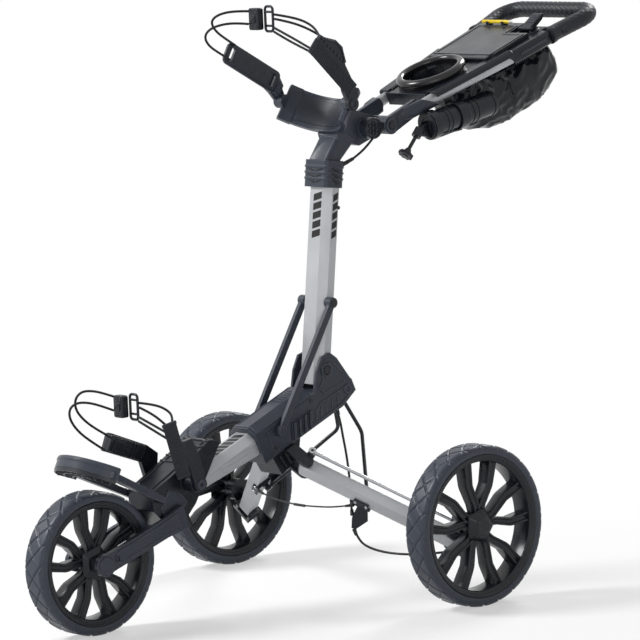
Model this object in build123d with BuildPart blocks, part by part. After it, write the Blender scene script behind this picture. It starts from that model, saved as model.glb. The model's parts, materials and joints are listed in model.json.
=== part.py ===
from build123d import *
import os
from math import cos, pi, radians, sin, tan

os.makedirs("parts", exist_ok=True)

# A folding three-wheel push cart for a golf bag.
# Frame: +Z up, the cart rolls towards -Y and its left side is +X.
# The origin is on the ground, under the middle of the cart.
# Places along the frame are given as distances behind the rear or the front axle.

# Wheels
rear_wheel_diameter = 292
front_wheel_diameter = 256
wheel_track = 701
wheelbase = 600
tyre_width = 52
tyre_depth = 29
tyre_shoulder = 9
rim_width = 44
rim_wall = 4
rim_lip = 9
rim_lip_width = 3
spoke_count = 5
spoke_width = 19
spoke_thickness = 14
spoke_turn = 15
spoke_start = 16
spoke_root_reach = 0.36
spoke_root_turn = 0.35
spoke_knee_reach = 0.58
spoke_knee_turn = 1.12
hub_diameter = 46
hub_length = 42
axle_diameter = 12
hub_cap_radius = 29
hub_cap_thickness = 6
hub_cap_corner = 4
hub_cap_edge = 1.5
hub_cap_turn = 18
axle_end = 2

# Fits
running_clearance = 0.05
seat_clearance = 0.1
sliding_gap = 0.3
side_gap = 0.5

# Spine: the line of the front tube, rising to the rear
spine_angle = 23
spine_back_of_axle = -300
spine_height = 271
tube_width = 58
tube_flat = 34
tube_shoulder = 14
tube_top = 16.5
tube_front_setback = 219
tube_rear = 148
tube_front_bottom = -13
tube_rear_bottom = -31
tube_wall = 2.5
chamfer_share = 0.45

# Folding housing, measured along the spine and square to it
housing_front = 92
housing_bottom = -45
housing_half_width = 34.5
housing_rear = 319
housing_roof = 12
housing_heel = 40
housing_heel_rise = 12
housing_tail_top = -8
housing_saddle = 226
housing_edge = 3
ear_thickness = 5
ear_front = 222
ear_top_half = 22
ear_top_height = 27
ear_shape = [(1.45, 0.3), (1, 0.9), (0, 1), (-1, 0.3)]
mast_swing = 36
rib_count = 4
rib_pitch = 14
rib_height = 6
rib_width = 5
rib_first = 146
rib_slant = 12
rib_low = -40
rib_high = -10
hood_front = 70
hood_rear = 218
hood_top = 27
hood_half_width = 35
hood_brim = 3
hood_corner = 4

# Mast
mast_pivot_along = 271
mast_pivot_up = 36.5
mast_lean = 7
mast_depth = 32
mast_foot = 28
mast_length = 346
mast_corner = 4
pivot_bolt_diameter = 10
collar_height = 50
collar_overlap = 12
collar_width = 66
collar_depth = 44
collar_corner = 9
collar_ribs = 3
collar_rib_first = 14
collar_rib_pitch = 11
collar_rib_height = 4
collar_rib_depth = 1.5
neck_back = 38
neck_rise = 45
neck_width = 54
neck_depth = 42
neck_flare = 2
head_drop = 22
head_front = 12
head_reach = 62
head_shoulder = 0.8
head_chin = 0.82
head_crown = 0.76
disc_setback = 36
disc_drop = 3

# Struts
strut_top_along = 124
strut_foot_along = 124.5
strut_foot_up = -6
strut_width = 13
strut_thickness = 8
strut_boss = 10
strut_inner = 36
strut_pin_diameter = 8
strut_foot_boss = 8
strut_foot_length = 12
pin_head = 3
pin_flange = 3

# Handle: measured along the handle and square to it, from its pivot
handle_pivot_behind_mast = 122.6
handle_pivot_above_mast = 94
handle_rise = 20.5
handle_length = 507
handle_lift = 5
handle_half_width = 125
loop_corner = 36
loop_knee = 24
grip_diameter = 31
rail_height = 22
rail_width = 16
rail_middle_x = 97
rail_rear_x = 103
rail_front = 56
rail_bend = 98
rail_middle = 285
loop_reach = 121
rail_bend_radius = 120
knuckle_radius = 17
knuckle_thickness = 9
knuckle_cheek = 16
knuckle_nose = 22
knuckle_margin = 3
lug_half_width = 46
disc_radius = 20
handle_pin_diameter = 9
tray_front = 98
tray_overhang = 18
tray_bottom = -7
tray_top = 17
cup_along = 172
cup_bore = 104
cup_outer = 136
cup_height = 19
lid_front = 244
lid_setback = 4
lid_half_width = 84
lid_thickness = 8
lid_corner = 8
lid_notch_length = 44
lid_notch_width = 52
cup_edge = 3
console_ear = 4
ear_width = 11
console_pin_diameter = 3
console_pin_reach = 6
lever_setback = 20
lever_width = 26
lever_length = 40
lever_rise = 14
lever_hub_diameter = 10
lever_belly = 0.4
lever_bend = 0.8
lever_crown = 1.1
lever_tip = 0.9
pocket_depth = 16
pocket_margin = 19
tray_relief = 1
umbrella_diameter = 46
umbrella_wall = 3
umbrella_length = 158
umbrella_x = 76
umbrella_rise = 11
umbrella_behind_pivot = 75
umbrella_below_pivot = 6
socket_wall = 4
socket_depth = 16
band_start = 62
band_length = 22
hanger_inner = 50
hanger_thickness = 12
hanger_width = 18
knob_stem_diameter = 7
knob_flange_diameter = 26
knob_flange_thickness = 6
knob_length = 54
knob_dip = 49.5
knob_behind_pivot = 47
knob_below_pivot = 16
knob_boss_diameter = 18
knob_boss_length = 14
knob_stem_end = 2
bag_front = 178
bag_end_inset = 96
bag_half_width = 80
bag_depth = 110
bag_neck_half = 46
bag_shoulder = 224
bag_taper = 5

# Upper cradle
yoke_behind_mast = 32.6
yoke_above_mast = 116
bag_lean = 33
cradle_radius = 101
yoke_thickness = 8
yoke_half_height = 33
yoke_half_angle = 60
arm_hinge_radius = 13
arm_thickness = 9
arm_offset = 6
arm_root = 11
yoke_ear = 8
arm_pin_diameter = 8
right_arm_tilt = 30
left_arm_tilt = 41
pad_start = 28
pad_end = 166
pad_height = 42
pad_offset = 22
pad_thickness = 9
pad_draft = 12
pad_slot_inset = 12
pad_slot_width = 4
pad_slot_margin = 8
left_arm_reach = 138
left_arm_low = 14
left_arm_high = 66
left_arm_knee = 44
left_arm_shoulder = 84
left_arm_waist = (0.7, 0.3)
left_arm_tip = 0.75
left_arm_brow = 1.25
left_arm_saddle = (0.7, 0.67)

# Rear legs
leg_pivot_x = 60
leg_pivot_along = 132
leg_pivot_up = -85
leg_end_inset = 62
leg_end_drop = 31
leg_width = 25
leg_height = 25
leg_pin_diameter = 10
lug_thickness = 5.7
lug_reach = 48
leg_root_front = 40
leg_root_rear = 34
tie_offset = 20
tie_rod_diameter = 7
tie_eye_diameter = 14
tie_eye_thickness = 8
tie_pin_diameter = 6
clamp_start = 104
clamp_end = 142
clamp_wall = 3
clamp_floor = 6
clamp_cheek_share = 0.6
clamp_cheek_inset = 4
guide_along = 126
guide_side = -10
guide_tip_along = 134
guide_tip_side = -36
guide_tip_up = -52
guide_length = 24
guide_root_width = 18
guide_width = 30
guide_tip_width = 9
guide_tip_shift = -7
guide_thickness = 8
guide_corner = 2
link_pin_along = 128
link_pin_side = 8
link_pin_drop = 24
link_rod_diameter = 7
link_along = 297
link_head_up = -43.4
link_head_x = 14
link_elbow_up = -110
link_elbow_x = 33
link_bend = 18
carrier_web = 18
carrier_reach = 32
carrier_height = 30
carrier_shift = 1
carrier_rise = 24
carrier_boss_radius = 21
carrier_boss_inset = 21

# Front end: lengths are behind the front axle, heights above the ground
fork_inner = 38
fork_thickness = 10
fork_depth = 34
fork_boss_diameter = 40
fork_root_back = 170
fork_root_height = 186
fork_root_boss = 14
fork_shoulder = 36
fork_spacer = 5
bracket_half_width = 35.4
bracket_back = 118
bracket_foot = 172
bracket_length = 98
bracket_height = 92
bracket_shape = [(0.47, 1), (0, 0.74), (0.02, 0.37), (0.35, 0), (0.71, 0.065), (1, 0.39)]
bracket_grip = 84
bracket_crown = 61
bracket_grip_shape = [(1, 0.76), (0.76, 1), (0.37, 0.91)]
bracket_corner = 5
tube_seat = 4
rest_root_back = 130
rest_root_height = 228
rest_along = 189
rest_radius = 94
rest_band = 13
rest_lip_height = 9
rest_thickness = 12
rest_tilt = 26
rest_half_angle = 64
rest_rail_width = 13
rest_rail_start = -8
rest_rail_end_width = 26
lower_hinge_back = 198
lower_hinge_height = 248
lower_hinge_radius = 13
lower_boss_radius = 15
lower_arm_inner = 66
lower_arm_thickness = 10
lower_arm_reach = 101
lower_arm_rise = 92
lower_pad_thickness = 8
lower_pad_draft = 10
lower_pad_shape = [(-0.22, 0.33), (-1, 0.65), (-0.87, 1), (-0.08, 0.65)]
right_arm_shape = [(-0.12, -0.02), (0.12, 0.02), (0.16, 0.46)] + lower_pad_shape[::-1]
left_arm_shape = [(-0.12, -0.02), (0.12, 0.02), (0, 0.52), (-0.16, 0.93), (-0.34, 0.89), (-0.26, 0.43)]
lower_webbing_shape = [(-0.24, 0.22), (-0.53, 0.17), (-0.81, 1.24), (-0.52, 1.3)]

# Cords and webbing
bungee_diameter = 4.5
cable_diameter = 4.5
cross_cable_diameter = 3
webbing_width = 30
webbing_thickness = 2.5
webbing_start = 16
webbing_low = 2
webbing_high = 10
webbing_over = 4
arc_share = 0.45
buckle_width = 26
buckle_height = 40
buckle_depth = 14
buckle_corner = 4
hook_width = 24
hook_height = 50
hook_depth = 8
hook_bar = 5
hook_shift = 13
upper_buckle_place = (-1, -120.9, 160.5)
lower_buckle_place = (-3, -101, 146)

# Places worked out from the sizes above
rail_rear = handle_length - loop_reach
tray_rear = rail_rear + tray_overhang
lid_rear = tray_rear - lid_setback
front_radius = front_wheel_diameter / 2
rear_radius = rear_wheel_diameter / 2
spine_slope = radians(spine_angle)
spine_back = Vector(0, cos(spine_slope), sin(spine_slope))
spine_up = Vector(0, -sin(spine_slope), cos(spine_slope))
mast_slope = radians(mast_lean)
mast_up = Vector(0, sin(mast_slope), cos(mast_slope))
handle_slope = radians(handle_rise)
handle_back = Vector(0, cos(handle_slope), sin(handle_slope))
handle_up = Vector(0, -sin(handle_slope), cos(handle_slope))
cradle_slope = radians(bag_lean)
bag_axis = Vector(0, sin(cradle_slope), cos(cradle_slope))
cradle_back = Vector(0, cos(cradle_slope), -sin(cradle_slope))

mast_pivot_behind = (
    spine_back_of_axle + mast_pivot_along * cos(spine_slope) - mast_pivot_up * sin(spine_slope)
)
mast_top_behind = mast_pivot_behind + mast_length * sin(mast_slope)
handle_pivot_behind = mast_top_behind + handle_pivot_behind_mast
handle_reach = (
    handle_pivot_behind
    + handle_length * cos(handle_slope)
    - handle_lift * sin(handle_slope)
    + grip_diameter / 2
)
tube_front = (tube_front_setback - wheelbase - spine_back_of_axle) / cos(spine_slope)
rear_axle_y = (wheelbase + front_radius - handle_reach) / 2
front_axle = Vector(0, rear_axle_y - wheelbase, front_radius)
rear_axle = Vector(wheel_track / 2, rear_axle_y, rear_radius)
spine_origin = Vector(0, rear_axle_y + spine_back_of_axle, spine_height)


def spine(along, up, x=0.0):
    """A point given along the spine, square to it and across the cart."""
    return spine_origin + spine_back * along + spine_up * up + Vector(x, 0, 0)


def spine_side(along, up):
    """The same point as (Y, Z), for a side profile."""
    point = spine(along, up)
    return (point.Y, point.Z)


def front_side(back, height):
    """A side profile point behind the front axle."""
    return (front_axle.Y + back, height)


mast_pivot = spine(mast_pivot_along, mast_pivot_up)
mast_top = mast_pivot + mast_up * mast_length
handle_pivot = mast_top + Vector(0, handle_pivot_behind_mast, handle_pivot_above_mast)
yoke_back = mast_top + Vector(0, yoke_behind_mast, yoke_above_mast)
cradle_centre = yoke_back - cradle_back * (cradle_radius + yoke_thickness / 2)
strut_top = mast_pivot + mast_up * strut_top_along
strut_foot = spine(strut_foot_along, strut_foot_up)
leg_inner = spine(leg_pivot_along, leg_pivot_up, leg_pivot_x)
leg_outer = rear_axle - Vector(leg_end_inset, 0, leg_end_drop)
leg_length = (leg_outer - leg_inner).length
leg_line = (leg_outer - leg_inner).normalized()
leg_axis = leg_line.cross(spine_back).normalized()
leg_side = leg_axis.cross(leg_line)


def handle_point(along, up, x=0.0):
    """A point given along the handle, square to it and across the cart."""
    return handle_pivot + handle_back * along + handle_up * up + Vector(x, 0, 0)


def handle_side(along, up):
    """The same point as (Y, Z), for a side profile."""
    point = handle_point(along, up)
    return (point.Y, point.Z)


def leg_point(along, across, up):
    """A point in the left leg's own directions, from its inner pivot."""
    return leg_inner + leg_line * along + leg_side * across + leg_axis * up


def leg_plane(origin, up):
    """A plane square to the leg's pivots, at a height along them."""
    return Plane(origin=origin + leg_axis * up, x_dir=leg_line, z_dir=leg_axis)


def across_plane(origin, normal):
    """A plane with its first direction across the cart."""
    return Plane(origin=origin, x_dir=(1, 0, 0), z_dir=normal)


def side_plane(x):
    """A side view plane at a distance from the middle of the cart."""
    return Plane.YZ.offset(x)


def save(solid, name):
    """Label a finished piece and write its file."""
    solid.label = name
    export_step(solid, f"parts/{name}.step")
    return solid


def mirrored(solid, name):
    """The right-hand copy of a left-hand piece."""
    with BuildPart() as copy:
        mirror(solid, about=Plane.YZ)
    return save(copy.part, name)


# Wheels: a tyre, a rim with forked spokes and a five-sided hub cap


def tyre(centre, radius, name):
    """A tyre with rounded shoulders, turned about the axle."""
    with BuildPart() as ring:
        with BuildSketch(across_plane(centre, (0, -1, 0))) as section:
            with Locations((0, radius - tyre_depth / 2)):
                Rectangle(tyre_width, tyre_depth)
            fillet(section.vertices().group_by(Axis.Y)[-1], tyre_shoulder)
        revolve(axis=Axis(centre, (1, 0, 0)))
    return save(ring.part, name)


def spoke_outline(turn, rim_radius):
    """One arm of a forked spoke, from the hub out to the rim."""
    stations = [
        (spoke_root_reach * hub_diameter, spoke_root_turn),
        (spoke_knee_reach * rim_radius, spoke_knee_turn),
        (rim_radius, 1),
    ]
    edges = []
    for hand in (-1, 1):
        for reach, share in stations:
            angle = radians(turn * share) + hand * spoke_width / 2 / reach
            edges.append((reach * cos(angle), reach * sin(angle)))
    return edges[:3] + edges[:2:-1]


def rim(centre, radius, hand, name):
    """A dished rim; hand is +1 where its face looks to the left."""
    seat = radius - tyre_depth - seat_clearance
    bore = axle_diameter / 2 + running_clearance
    hub_wall = hub_diameter / 2 - bore
    with BuildPart() as wheel:
        with BuildSketch(across_plane(centre, (0, -1, 0))):
            with Locations((0, seat - rim_wall / 2)):
                Rectangle(rim_width, rim_wall)
            for edge in (-1, 1):
                with Locations((edge * (rim_width - rim_lip_width) / 2, seat - rim_lip / 2)):
                    Rectangle(rim_lip_width, rim_lip)
            with Locations((0, bore + hub_wall / 2)):
                Rectangle(hub_length, hub_wall)
        revolve(axis=Axis(centre, (1, 0, 0)))
        with BuildSketch(Plane(origin=centre, x_dir=(0, 1, 0), z_dir=(1, 0, 0))):
            with PolarLocations(0, spoke_count, start_angle=spoke_start):
                for turn in (-spoke_turn, spoke_turn):
                    Polygon(*spoke_outline(turn, seat - rim_wall / 2), align=None)
            Circle(hub_diameter / 2 - rim_wall / 4, mode=Mode.SUBTRACT)
        extrude(amount=hand * spoke_thickness)
    return save(wheel.part, name)


def hub_cap(centre, hand, name):
    """A five-sided cap with a pocket for the end of the axle."""
    face = centre + Vector(hand * (hub_length / 2 + seat_clearance), 0, 0)
    with BuildPart() as cap:
        with BuildSketch(Plane(origin=face, x_dir=(0, 1, 0), z_dir=(hand, 0, 0))):
            RegularPolygon(hub_cap_radius, spoke_count, rotation=hub_cap_turn)
        extrude(amount=hub_cap_thickness)
        fillet(cap.edges().filter_by(Axis.X), hub_cap_corner)
        chamfer(cap.faces().sort_by(Axis.X)[0 if hand < 0 else -1].edges(), hub_cap_edge)
        with BuildSketch(Plane(origin=face, x_dir=(0, 1, 0), z_dir=(hand, 0, 0))):
            Circle(axle_diameter / 2 + axle_end)
        extrude(amount=hub_cap_thickness / 2, mode=Mode.SUBTRACT)
    return save(cap.part, name)


left_centre = rear_axle
right_centre = Vector(-rear_axle.X, rear_axle.Y, rear_axle.Z)
for wheel_name, centre, radius, hand in (
    ("front", front_axle, front_radius, 1),
    ("left", left_centre, rear_radius, 1),
    ("right", right_centre, rear_radius, -1),
):
    tyre(centre, radius, f"{wheel_name}_tyre")
    rim(centre, radius, hand, f"{wheel_name}_rim")
hub_cap(left_centre, 1, "left_hub_cap")
hub_cap(right_centre, -1, "right_hub_cap")


# Front tube: a tapering six-sided extrusion along the spine


def tube_outline(bottom, grow):
    """The section of the front tube, grown or shrunk all round."""
    half = tube_width / 2 + grow
    flat = tube_flat / 2 + grow * chamfer_share
    top = tube_top + grow
    shoulder = tube_top - tube_shoulder + grow * chamfer_share
    low = bottom - grow
    return [(-flat, top), (flat, top), (half, shoulder), (half, low), (-half, low), (-half, shoulder)]


def tube_bottom(along):
    """How far the bottom of the tube lies below the spine."""
    share = (along - tube_front) / (tube_rear - tube_front)
    return tube_front_bottom + share * (tube_rear_bottom - tube_front_bottom)


def tube_solid(start, end, grow):
    """The tube's outer form between two places along the spine."""
    with BuildPart() as form:
        for along in (start, end):
            with BuildSketch(across_plane(spine(along, 0), spine_back * -1.0)):
                Polygon(*tube_outline(tube_bottom(along), grow), align=None)
        loft()
    return form.part


with BuildPart() as front_tube:
    add(tube_solid(tube_front, tube_rear, 0))
    add(tube_solid(tube_front - tube_wall, tube_rear + tube_wall, -tube_wall), mode=Mode.SUBTRACT)
save(front_tube.part, "front_tube")
tube_space = tube_solid(tube_front - tube_seat, tube_rear + side_gap, sliding_gap)


# Folding housing: two halves with ears that carry the mast

block_profile = [
    spine_side(housing_front, housing_bottom),
    spine_side(housing_rear - housing_heel, housing_bottom),
    spine_side(housing_rear, housing_bottom + housing_heel_rise),
    spine_side(housing_rear, housing_tail_top),
    spine_side(housing_rear - housing_heel / 2, 0),
    spine_side(housing_saddle, housing_roof),
    spine_side(housing_front, housing_roof),
]
ear_profile = [
    spine_side(housing_saddle, housing_bottom + housing_heel_rise / 2),
    spine_side(housing_rear - housing_edge, housing_bottom + housing_heel_rise + housing_edge),
    spine_side(housing_rear - housing_edge, housing_tail_top),
    *(
        spine_side(mast_pivot_along + ear_top_half * along, mast_pivot_up + ear_top_height * up)
        for along, up in ear_shape
    ),
    spine_side(ear_front, housing_roof / 3),
]
ear_inner = tube_width / 2 + side_gap
ear_outer = ear_inner + ear_thickness

with BuildPart() as casting_left:
    with BuildSketch(side_plane(running_clearance)):
        Polygon(*block_profile, align=None)
    extrude(amount=housing_half_width - running_clearance)
    fillet(casting_left.faces().sort_by(Axis.X)[-1].edges(), housing_edge)
    with BuildSketch(side_plane(ear_inner)):
        Polygon(*ear_profile, align=None)
    extrude(amount=ear_thickness)
    for index in range(rib_count):
        with BuildSketch(side_plane(housing_half_width - side_gap)):
            with BuildLine():
                foot = rib_first + rib_pitch * index
                Polyline(
                    spine_side(foot, rib_low),
                    spine_side(foot + rib_slant, rib_high),
                    spine_side(foot + rib_slant + rib_width, rib_high),
                    spine_side(foot + rib_width, rib_low),
                    close=True,
                )
            make_face()
        extrude(amount=rib_height)
    add(tube_space, mode=Mode.SUBTRACT)
    with BuildSketch(side_plane(0)):
        with Locations((mast_pivot.Y, mast_pivot.Z)):
            Circle(mast_swing)
    extrude(amount=ear_inner, mode=Mode.SUBTRACT)
    with BuildSketch(side_plane(0)):
        with Locations((mast_pivot.Y, mast_pivot.Z)):
            Circle(pivot_bolt_diameter / 2 + running_clearance)
    extrude(amount=2 * ear_outer, mode=Mode.SUBTRACT)
save(casting_left.part, "casting_left")
mirrored(casting_left.part, "casting_right")

hood_outline = [
    (-hood_half_width, housing_roof + sliding_gap),
    (hood_half_width, housing_roof + sliding_gap),
    (hood_half_width, housing_roof + hood_brim),
    (tube_flat / 2 + hood_brim, hood_top),
    (-tube_flat / 2 - hood_brim, hood_top),
    (-hood_half_width, housing_roof + hood_brim),
]
collar_outline = [
    (-hood_half_width, housing_bottom),
    (hood_half_width, housing_bottom),
    (hood_half_width, housing_roof + hood_brim),
    (tube_flat / 2 + hood_brim, hood_top),
    (-tube_flat / 2 - hood_brim, hood_top),
    (-hood_half_width, housing_roof + hood_brim),
]
with BuildPart() as housing_hood:
    with BuildSketch(across_plane(spine(hood_rear, 0), spine_back * -1.0)):
        Polygon(*hood_outline, align=None)
    extrude(amount=hood_rear - hood_front)
    with BuildSketch(across_plane(spine(housing_front - sliding_gap, 0), spine_back * -1.0)):
        Polygon(*collar_outline, align=None)
    extrude(amount=housing_front - sliding_gap - hood_front)
    add(tube_space, mode=Mode.SUBTRACT)
    hood_roof = housing_hood.faces().sort_by(Axis(spine_origin, spine_up))[-1]
    fillet(hood_roof.edges().filter_by(Axis(spine_origin, spine_back)), hood_corner)
save(housing_hood.part, "housing_hood")


# Mast: a six-sided tube with its flat to the front


def mast_outline(grow):
    """The section of the mast, grown or shrunk all round."""
    half = tube_width / 2 + grow
    flat = tube_flat / 2 + grow * chamfer_share
    front = -mast_depth / 2 - grow
    shoulder = front + tube_shoulder + grow * (1 - chamfer_share)
    rear = mast_depth / 2 + grow
    return [(-flat, front), (flat, front), (half, shoulder), (half, rear), (-half, rear), (-half, shoulder)]


mast_foot_point = mast_pivot - mast_up * mast_foot
with BuildPart() as mast_tube:
    with BuildSketch(across_plane(mast_foot_point, mast_up)) as mast_section:
        Polygon(*mast_outline(0), align=None)
        fillet(mast_section.vertices().group_by(Axis.Y)[-1], mast_corner)
        Polygon(*mast_outline(-tube_wall), align=None, mode=Mode.SUBTRACT)
    extrude(amount=mast_foot + mast_length)
    for centre, diameter in ((mast_pivot, pivot_bolt_diameter), (strut_top, strut_pin_diameter)):
        with BuildSketch(side_plane(-tube_width)):
            with Locations((centre.Y, centre.Z)):
                Circle(diameter / 2 + running_clearance)
        extrude(amount=2 * tube_width, mode=Mode.SUBTRACT)
save(mast_tube.part, "mast_tube")

collar_foot = mast_top - mast_up * collar_overlap
with BuildPart() as mast_collar:
    with BuildSketch(across_plane(collar_foot, mast_up)):
        RectangleRounded(collar_width, collar_depth, collar_corner)
    extrude(amount=collar_height)
    for index in range(collar_ribs):
        rib_place = collar_foot + mast_up * (collar_rib_first + collar_rib_pitch * index)
        with BuildSketch(across_plane(rib_place, mast_up)):
            RectangleRounded(
                collar_width + 2 * collar_rib_depth,
                collar_depth + 2 * collar_rib_depth,
                collar_corner + collar_rib_depth,
            )
        extrude(amount=collar_rib_height)
    with BuildSketch(across_plane(collar_foot, mast_up)):
        Polygon(*mast_outline(seat_clearance), align=None)
    extrude(amount=collar_overlap + seat_clearance, mode=Mode.SUBTRACT)
save(mast_collar.part, "mast_collar")

# Neck: rises from the collar, carries the yoke in front and the handle behind
neck_foot = collar_foot + mast_up * collar_height
neck_head = neck_foot + Vector(0, neck_back, neck_rise)
neck_line = (neck_head - neck_foot).normalized()
head_profile = [
    (neck_foot.Y + head_front, neck_foot.Z + neck_rise * head_shoulder),
    (neck_foot.Y + head_reach, neck_foot.Z + head_drop),
    (handle_pivot.Y, handle_pivot.Z - knuckle_radius * head_chin),
    (handle_pivot.Y + knuckle_radius / 4, handle_pivot.Z + knuckle_radius * head_crown),
    (yoke_back.Y + neck_back, yoke_back.Z + head_front / 2),
    (yoke_back.Y - head_front / 2, yoke_back.Z + 2 * head_front),
    (yoke_back.Y - head_drop, yoke_back.Z - head_drop),
]
disc_centre = handle_pivot - Vector(0, disc_setback, disc_drop)
with BuildPart() as neck:
    with BuildSketch(across_plane(neck_foot, mast_up)):
        RectangleRounded(neck_width, neck_depth - 2 * neck_flare, collar_corner)
    with BuildSketch(across_plane(neck_head, neck_line)):
        RectangleRounded(neck_width + neck_flare, neck_depth, collar_corner)
    loft()
    with BuildSketch(side_plane(-neck_width / 2)):
        Polygon(*head_profile, align=None)
    extrude(amount=neck_width)
    with BuildSketch(side_plane(-lug_half_width)):
        with Locations((handle_pivot.Y, handle_pivot.Z)):
            Circle(knuckle_radius)
        with Locations((disc_centre.Y, disc_centre.Z)):
            Circle(disc_radius)
    extrude(amount=2 * lug_half_width)
    with BuildSketch(across_plane(cradle_centre - bag_axis * cradle_radius, bag_axis)):
        Circle(cradle_radius + yoke_thickness + seat_clearance)
    extrude(amount=2 * cradle_radius, mode=Mode.SUBTRACT)
    with BuildSketch(side_plane(-2 * lug_half_width)):
        with Locations((handle_pivot.Y, handle_pivot.Z)):
            Circle(handle_pin_diameter / 2 + running_clearance)
    extrude(amount=4 * lug_half_width, mode=Mode.SUBTRACT)
save(neck.part, "neck")

# Upper yoke: a band that wraps the back of the golf bag
yoke_spread = radians(yoke_half_angle)
yoke_end = cradle_centre + cradle_back * ((cradle_radius + yoke_thickness / 2) * cos(yoke_spread))
yoke_end_x = (cradle_radius + yoke_thickness / 2) * sin(yoke_spread)
arm_inner = yoke_end_x + arm_offset
wedge_reach = 2 * cradle_radius
with BuildPart() as upper_yoke:
    with BuildSketch(across_plane(cradle_centre - bag_axis * yoke_half_height, bag_axis)):
        Circle(cradle_radius + yoke_thickness)
        Circle(cradle_radius, mode=Mode.SUBTRACT)
        Polygon(
            (0, 0),
            (wedge_reach * sin(yoke_spread), wedge_reach * cos(yoke_spread)),
            (0, 2 * wedge_reach),
            (-wedge_reach * sin(yoke_spread), wedge_reach * cos(yoke_spread)),
            align=None,
            mode=Mode.INTERSECT,
        )
    extrude(amount=2 * yoke_half_height)
    for hand in (-1, 1):
        with BuildSketch(side_plane(hand * (yoke_end_x - yoke_ear))):
            with Locations((yoke_end.Y, yoke_end.Z)):
                Circle(arm_hinge_radius)
        extrude(amount=hand * (arm_inner - sliding_gap - yoke_end_x + yoke_ear))
        with BuildSketch(side_plane(hand * (yoke_end_x - yoke_ear))):
            with Locations((yoke_end.Y, yoke_end.Z)):
                Circle(arm_pin_diameter / 2)
        extrude(amount=hand * (arm_inner + arm_thickness - yoke_end_x + yoke_ear))
save(upper_yoke.part, "upper_yoke")


def arm_place(tilt, along, up):
    """A side view point on an upper arm, from its hinge."""
    slope = radians(tilt)
    return (
        yoke_end.Y - along * cos(slope) + up * sin(slope),
        yoke_end.Z + along * sin(slope) + up * cos(slope),
    )


pad_low = pad_offset - pad_height / 2
pad_high = pad_offset + pad_height / 2
with BuildPart() as upper_arm_right:
    with BuildSketch(side_plane(-arm_inner)):
        with Locations((yoke_end.Y, yoke_end.Z)):
            Circle(arm_hinge_radius)
        Polygon(
            arm_place(right_arm_tilt, -arm_root / 2, -arm_root),
            arm_place(right_arm_tilt, pad_start, pad_low),
            arm_place(right_arm_tilt, pad_end, pad_low),
            arm_place(right_arm_tilt, pad_end, pad_high),
            arm_place(right_arm_tilt, pad_start, pad_high),
            arm_place(right_arm_tilt, -arm_root / 2, arm_root),
            align=None,
        )
    extrude(amount=-arm_thickness)
    with BuildSketch(side_plane(-arm_inner)):
        Polygon(
            arm_place(right_arm_tilt, pad_start, pad_low),
            arm_place(right_arm_tilt, pad_end, pad_low),
            arm_place(right_arm_tilt, pad_end, pad_high),
            arm_place(right_arm_tilt, pad_start, pad_high),
            align=None,
        )
    extrude(amount=pad_thickness, taper=pad_draft)
    for along in (pad_start + pad_slot_inset, pad_end - pad_slot_inset):
        with BuildSketch(side_plane(-arm_inner - 2 * arm_thickness)):
            Polygon(
                arm_place(right_arm_tilt, along - pad_slot_width / 2, pad_low + pad_slot_margin),
                arm_place(right_arm_tilt, along + pad_slot_width / 2, pad_low + pad_slot_margin),
                arm_place(right_arm_tilt, along + pad_slot_width / 2, pad_high - pad_slot_margin),
                arm_place(right_arm_tilt, along - pad_slot_width / 2, pad_high - pad_slot_margin),
                align=None,
            )
        extrude(amount=4 * arm_thickness, mode=Mode.SUBTRACT)
    with BuildSketch(side_plane(-arm_inner - 2 * arm_thickness)):
        with Locations((yoke_end.Y, yoke_end.Z)):
            Circle(arm_pin_diameter / 2 + running_clearance)
    extrude(amount=4 * arm_thickness, mode=Mode.SUBTRACT)
save(upper_arm_right.part, "upper_arm_right")

with BuildPart() as upper_arm_left:
    with BuildSketch(side_plane(arm_inner)):
        with Locations((yoke_end.Y, yoke_end.Z)):
            Circle(arm_hinge_radius)
        Polygon(
            arm_place(left_arm_tilt, -arm_root / 2, -arm_root),
            arm_place(left_arm_tilt, left_arm_knee * left_arm_waist[0], left_arm_low * left_arm_waist[1]),
            arm_place(left_arm_tilt, left_arm_knee, left_arm_low),
            arm_place(left_arm_tilt, left_arm_reach, left_arm_low),
            arm_place(left_arm_tilt, left_arm_reach, left_arm_high * left_arm_tip),
            arm_place(left_arm_tilt, left_arm_shoulder * left_arm_brow, left_arm_high),
            arm_place(left_arm_tilt, left_arm_shoulder, left_arm_high),
            arm_place(
                left_arm_tilt, left_arm_shoulder * left_arm_saddle[0], left_arm_high * left_arm_saddle[1]
            ),
            arm_place(left_arm_tilt, 0, 2 * arm_root),
            align=None,
        )
    extrude(amount=arm_thickness)
    with BuildSketch(side_plane(arm_inner)):
        with Locations((yoke_end.Y, yoke_end.Z)):
            Circle(arm_pin_diameter / 2 + running_clearance)
    extrude(amount=2 * arm_thickness, mode=Mode.SUBTRACT)
save(upper_arm_left.part, "upper_arm_left")

webbing_x = arm_inner + arm_thickness + seat_clearance
with BuildPart() as upper_webbing:
    with BuildSketch(side_plane(webbing_x)):
        Polygon(
            arm_place(left_arm_tilt, webbing_start, webbing_low),
            arm_place(left_arm_tilt, left_arm_reach + webbing_over, webbing_high),
            arm_place(left_arm_tilt, left_arm_reach + webbing_over, webbing_high + webbing_width),
            arm_place(left_arm_tilt, webbing_start, webbing_low + webbing_width),
            align=None,
        )
    extrude(amount=webbing_thickness)
save(upper_webbing.part, "upper_webbing")


# Struts: flat bars from the mast down to the sides of the spine

strut_rise = (strut_top - strut_foot).normalized()
strut_square = Vector(0, -strut_rise.Z, strut_rise.Y)


def strut_corner(point, along, across):
    """A side view point beside a strut's end."""
    corner = point + strut_rise * along + strut_square * across
    return (corner.Y, corner.Z)


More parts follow.
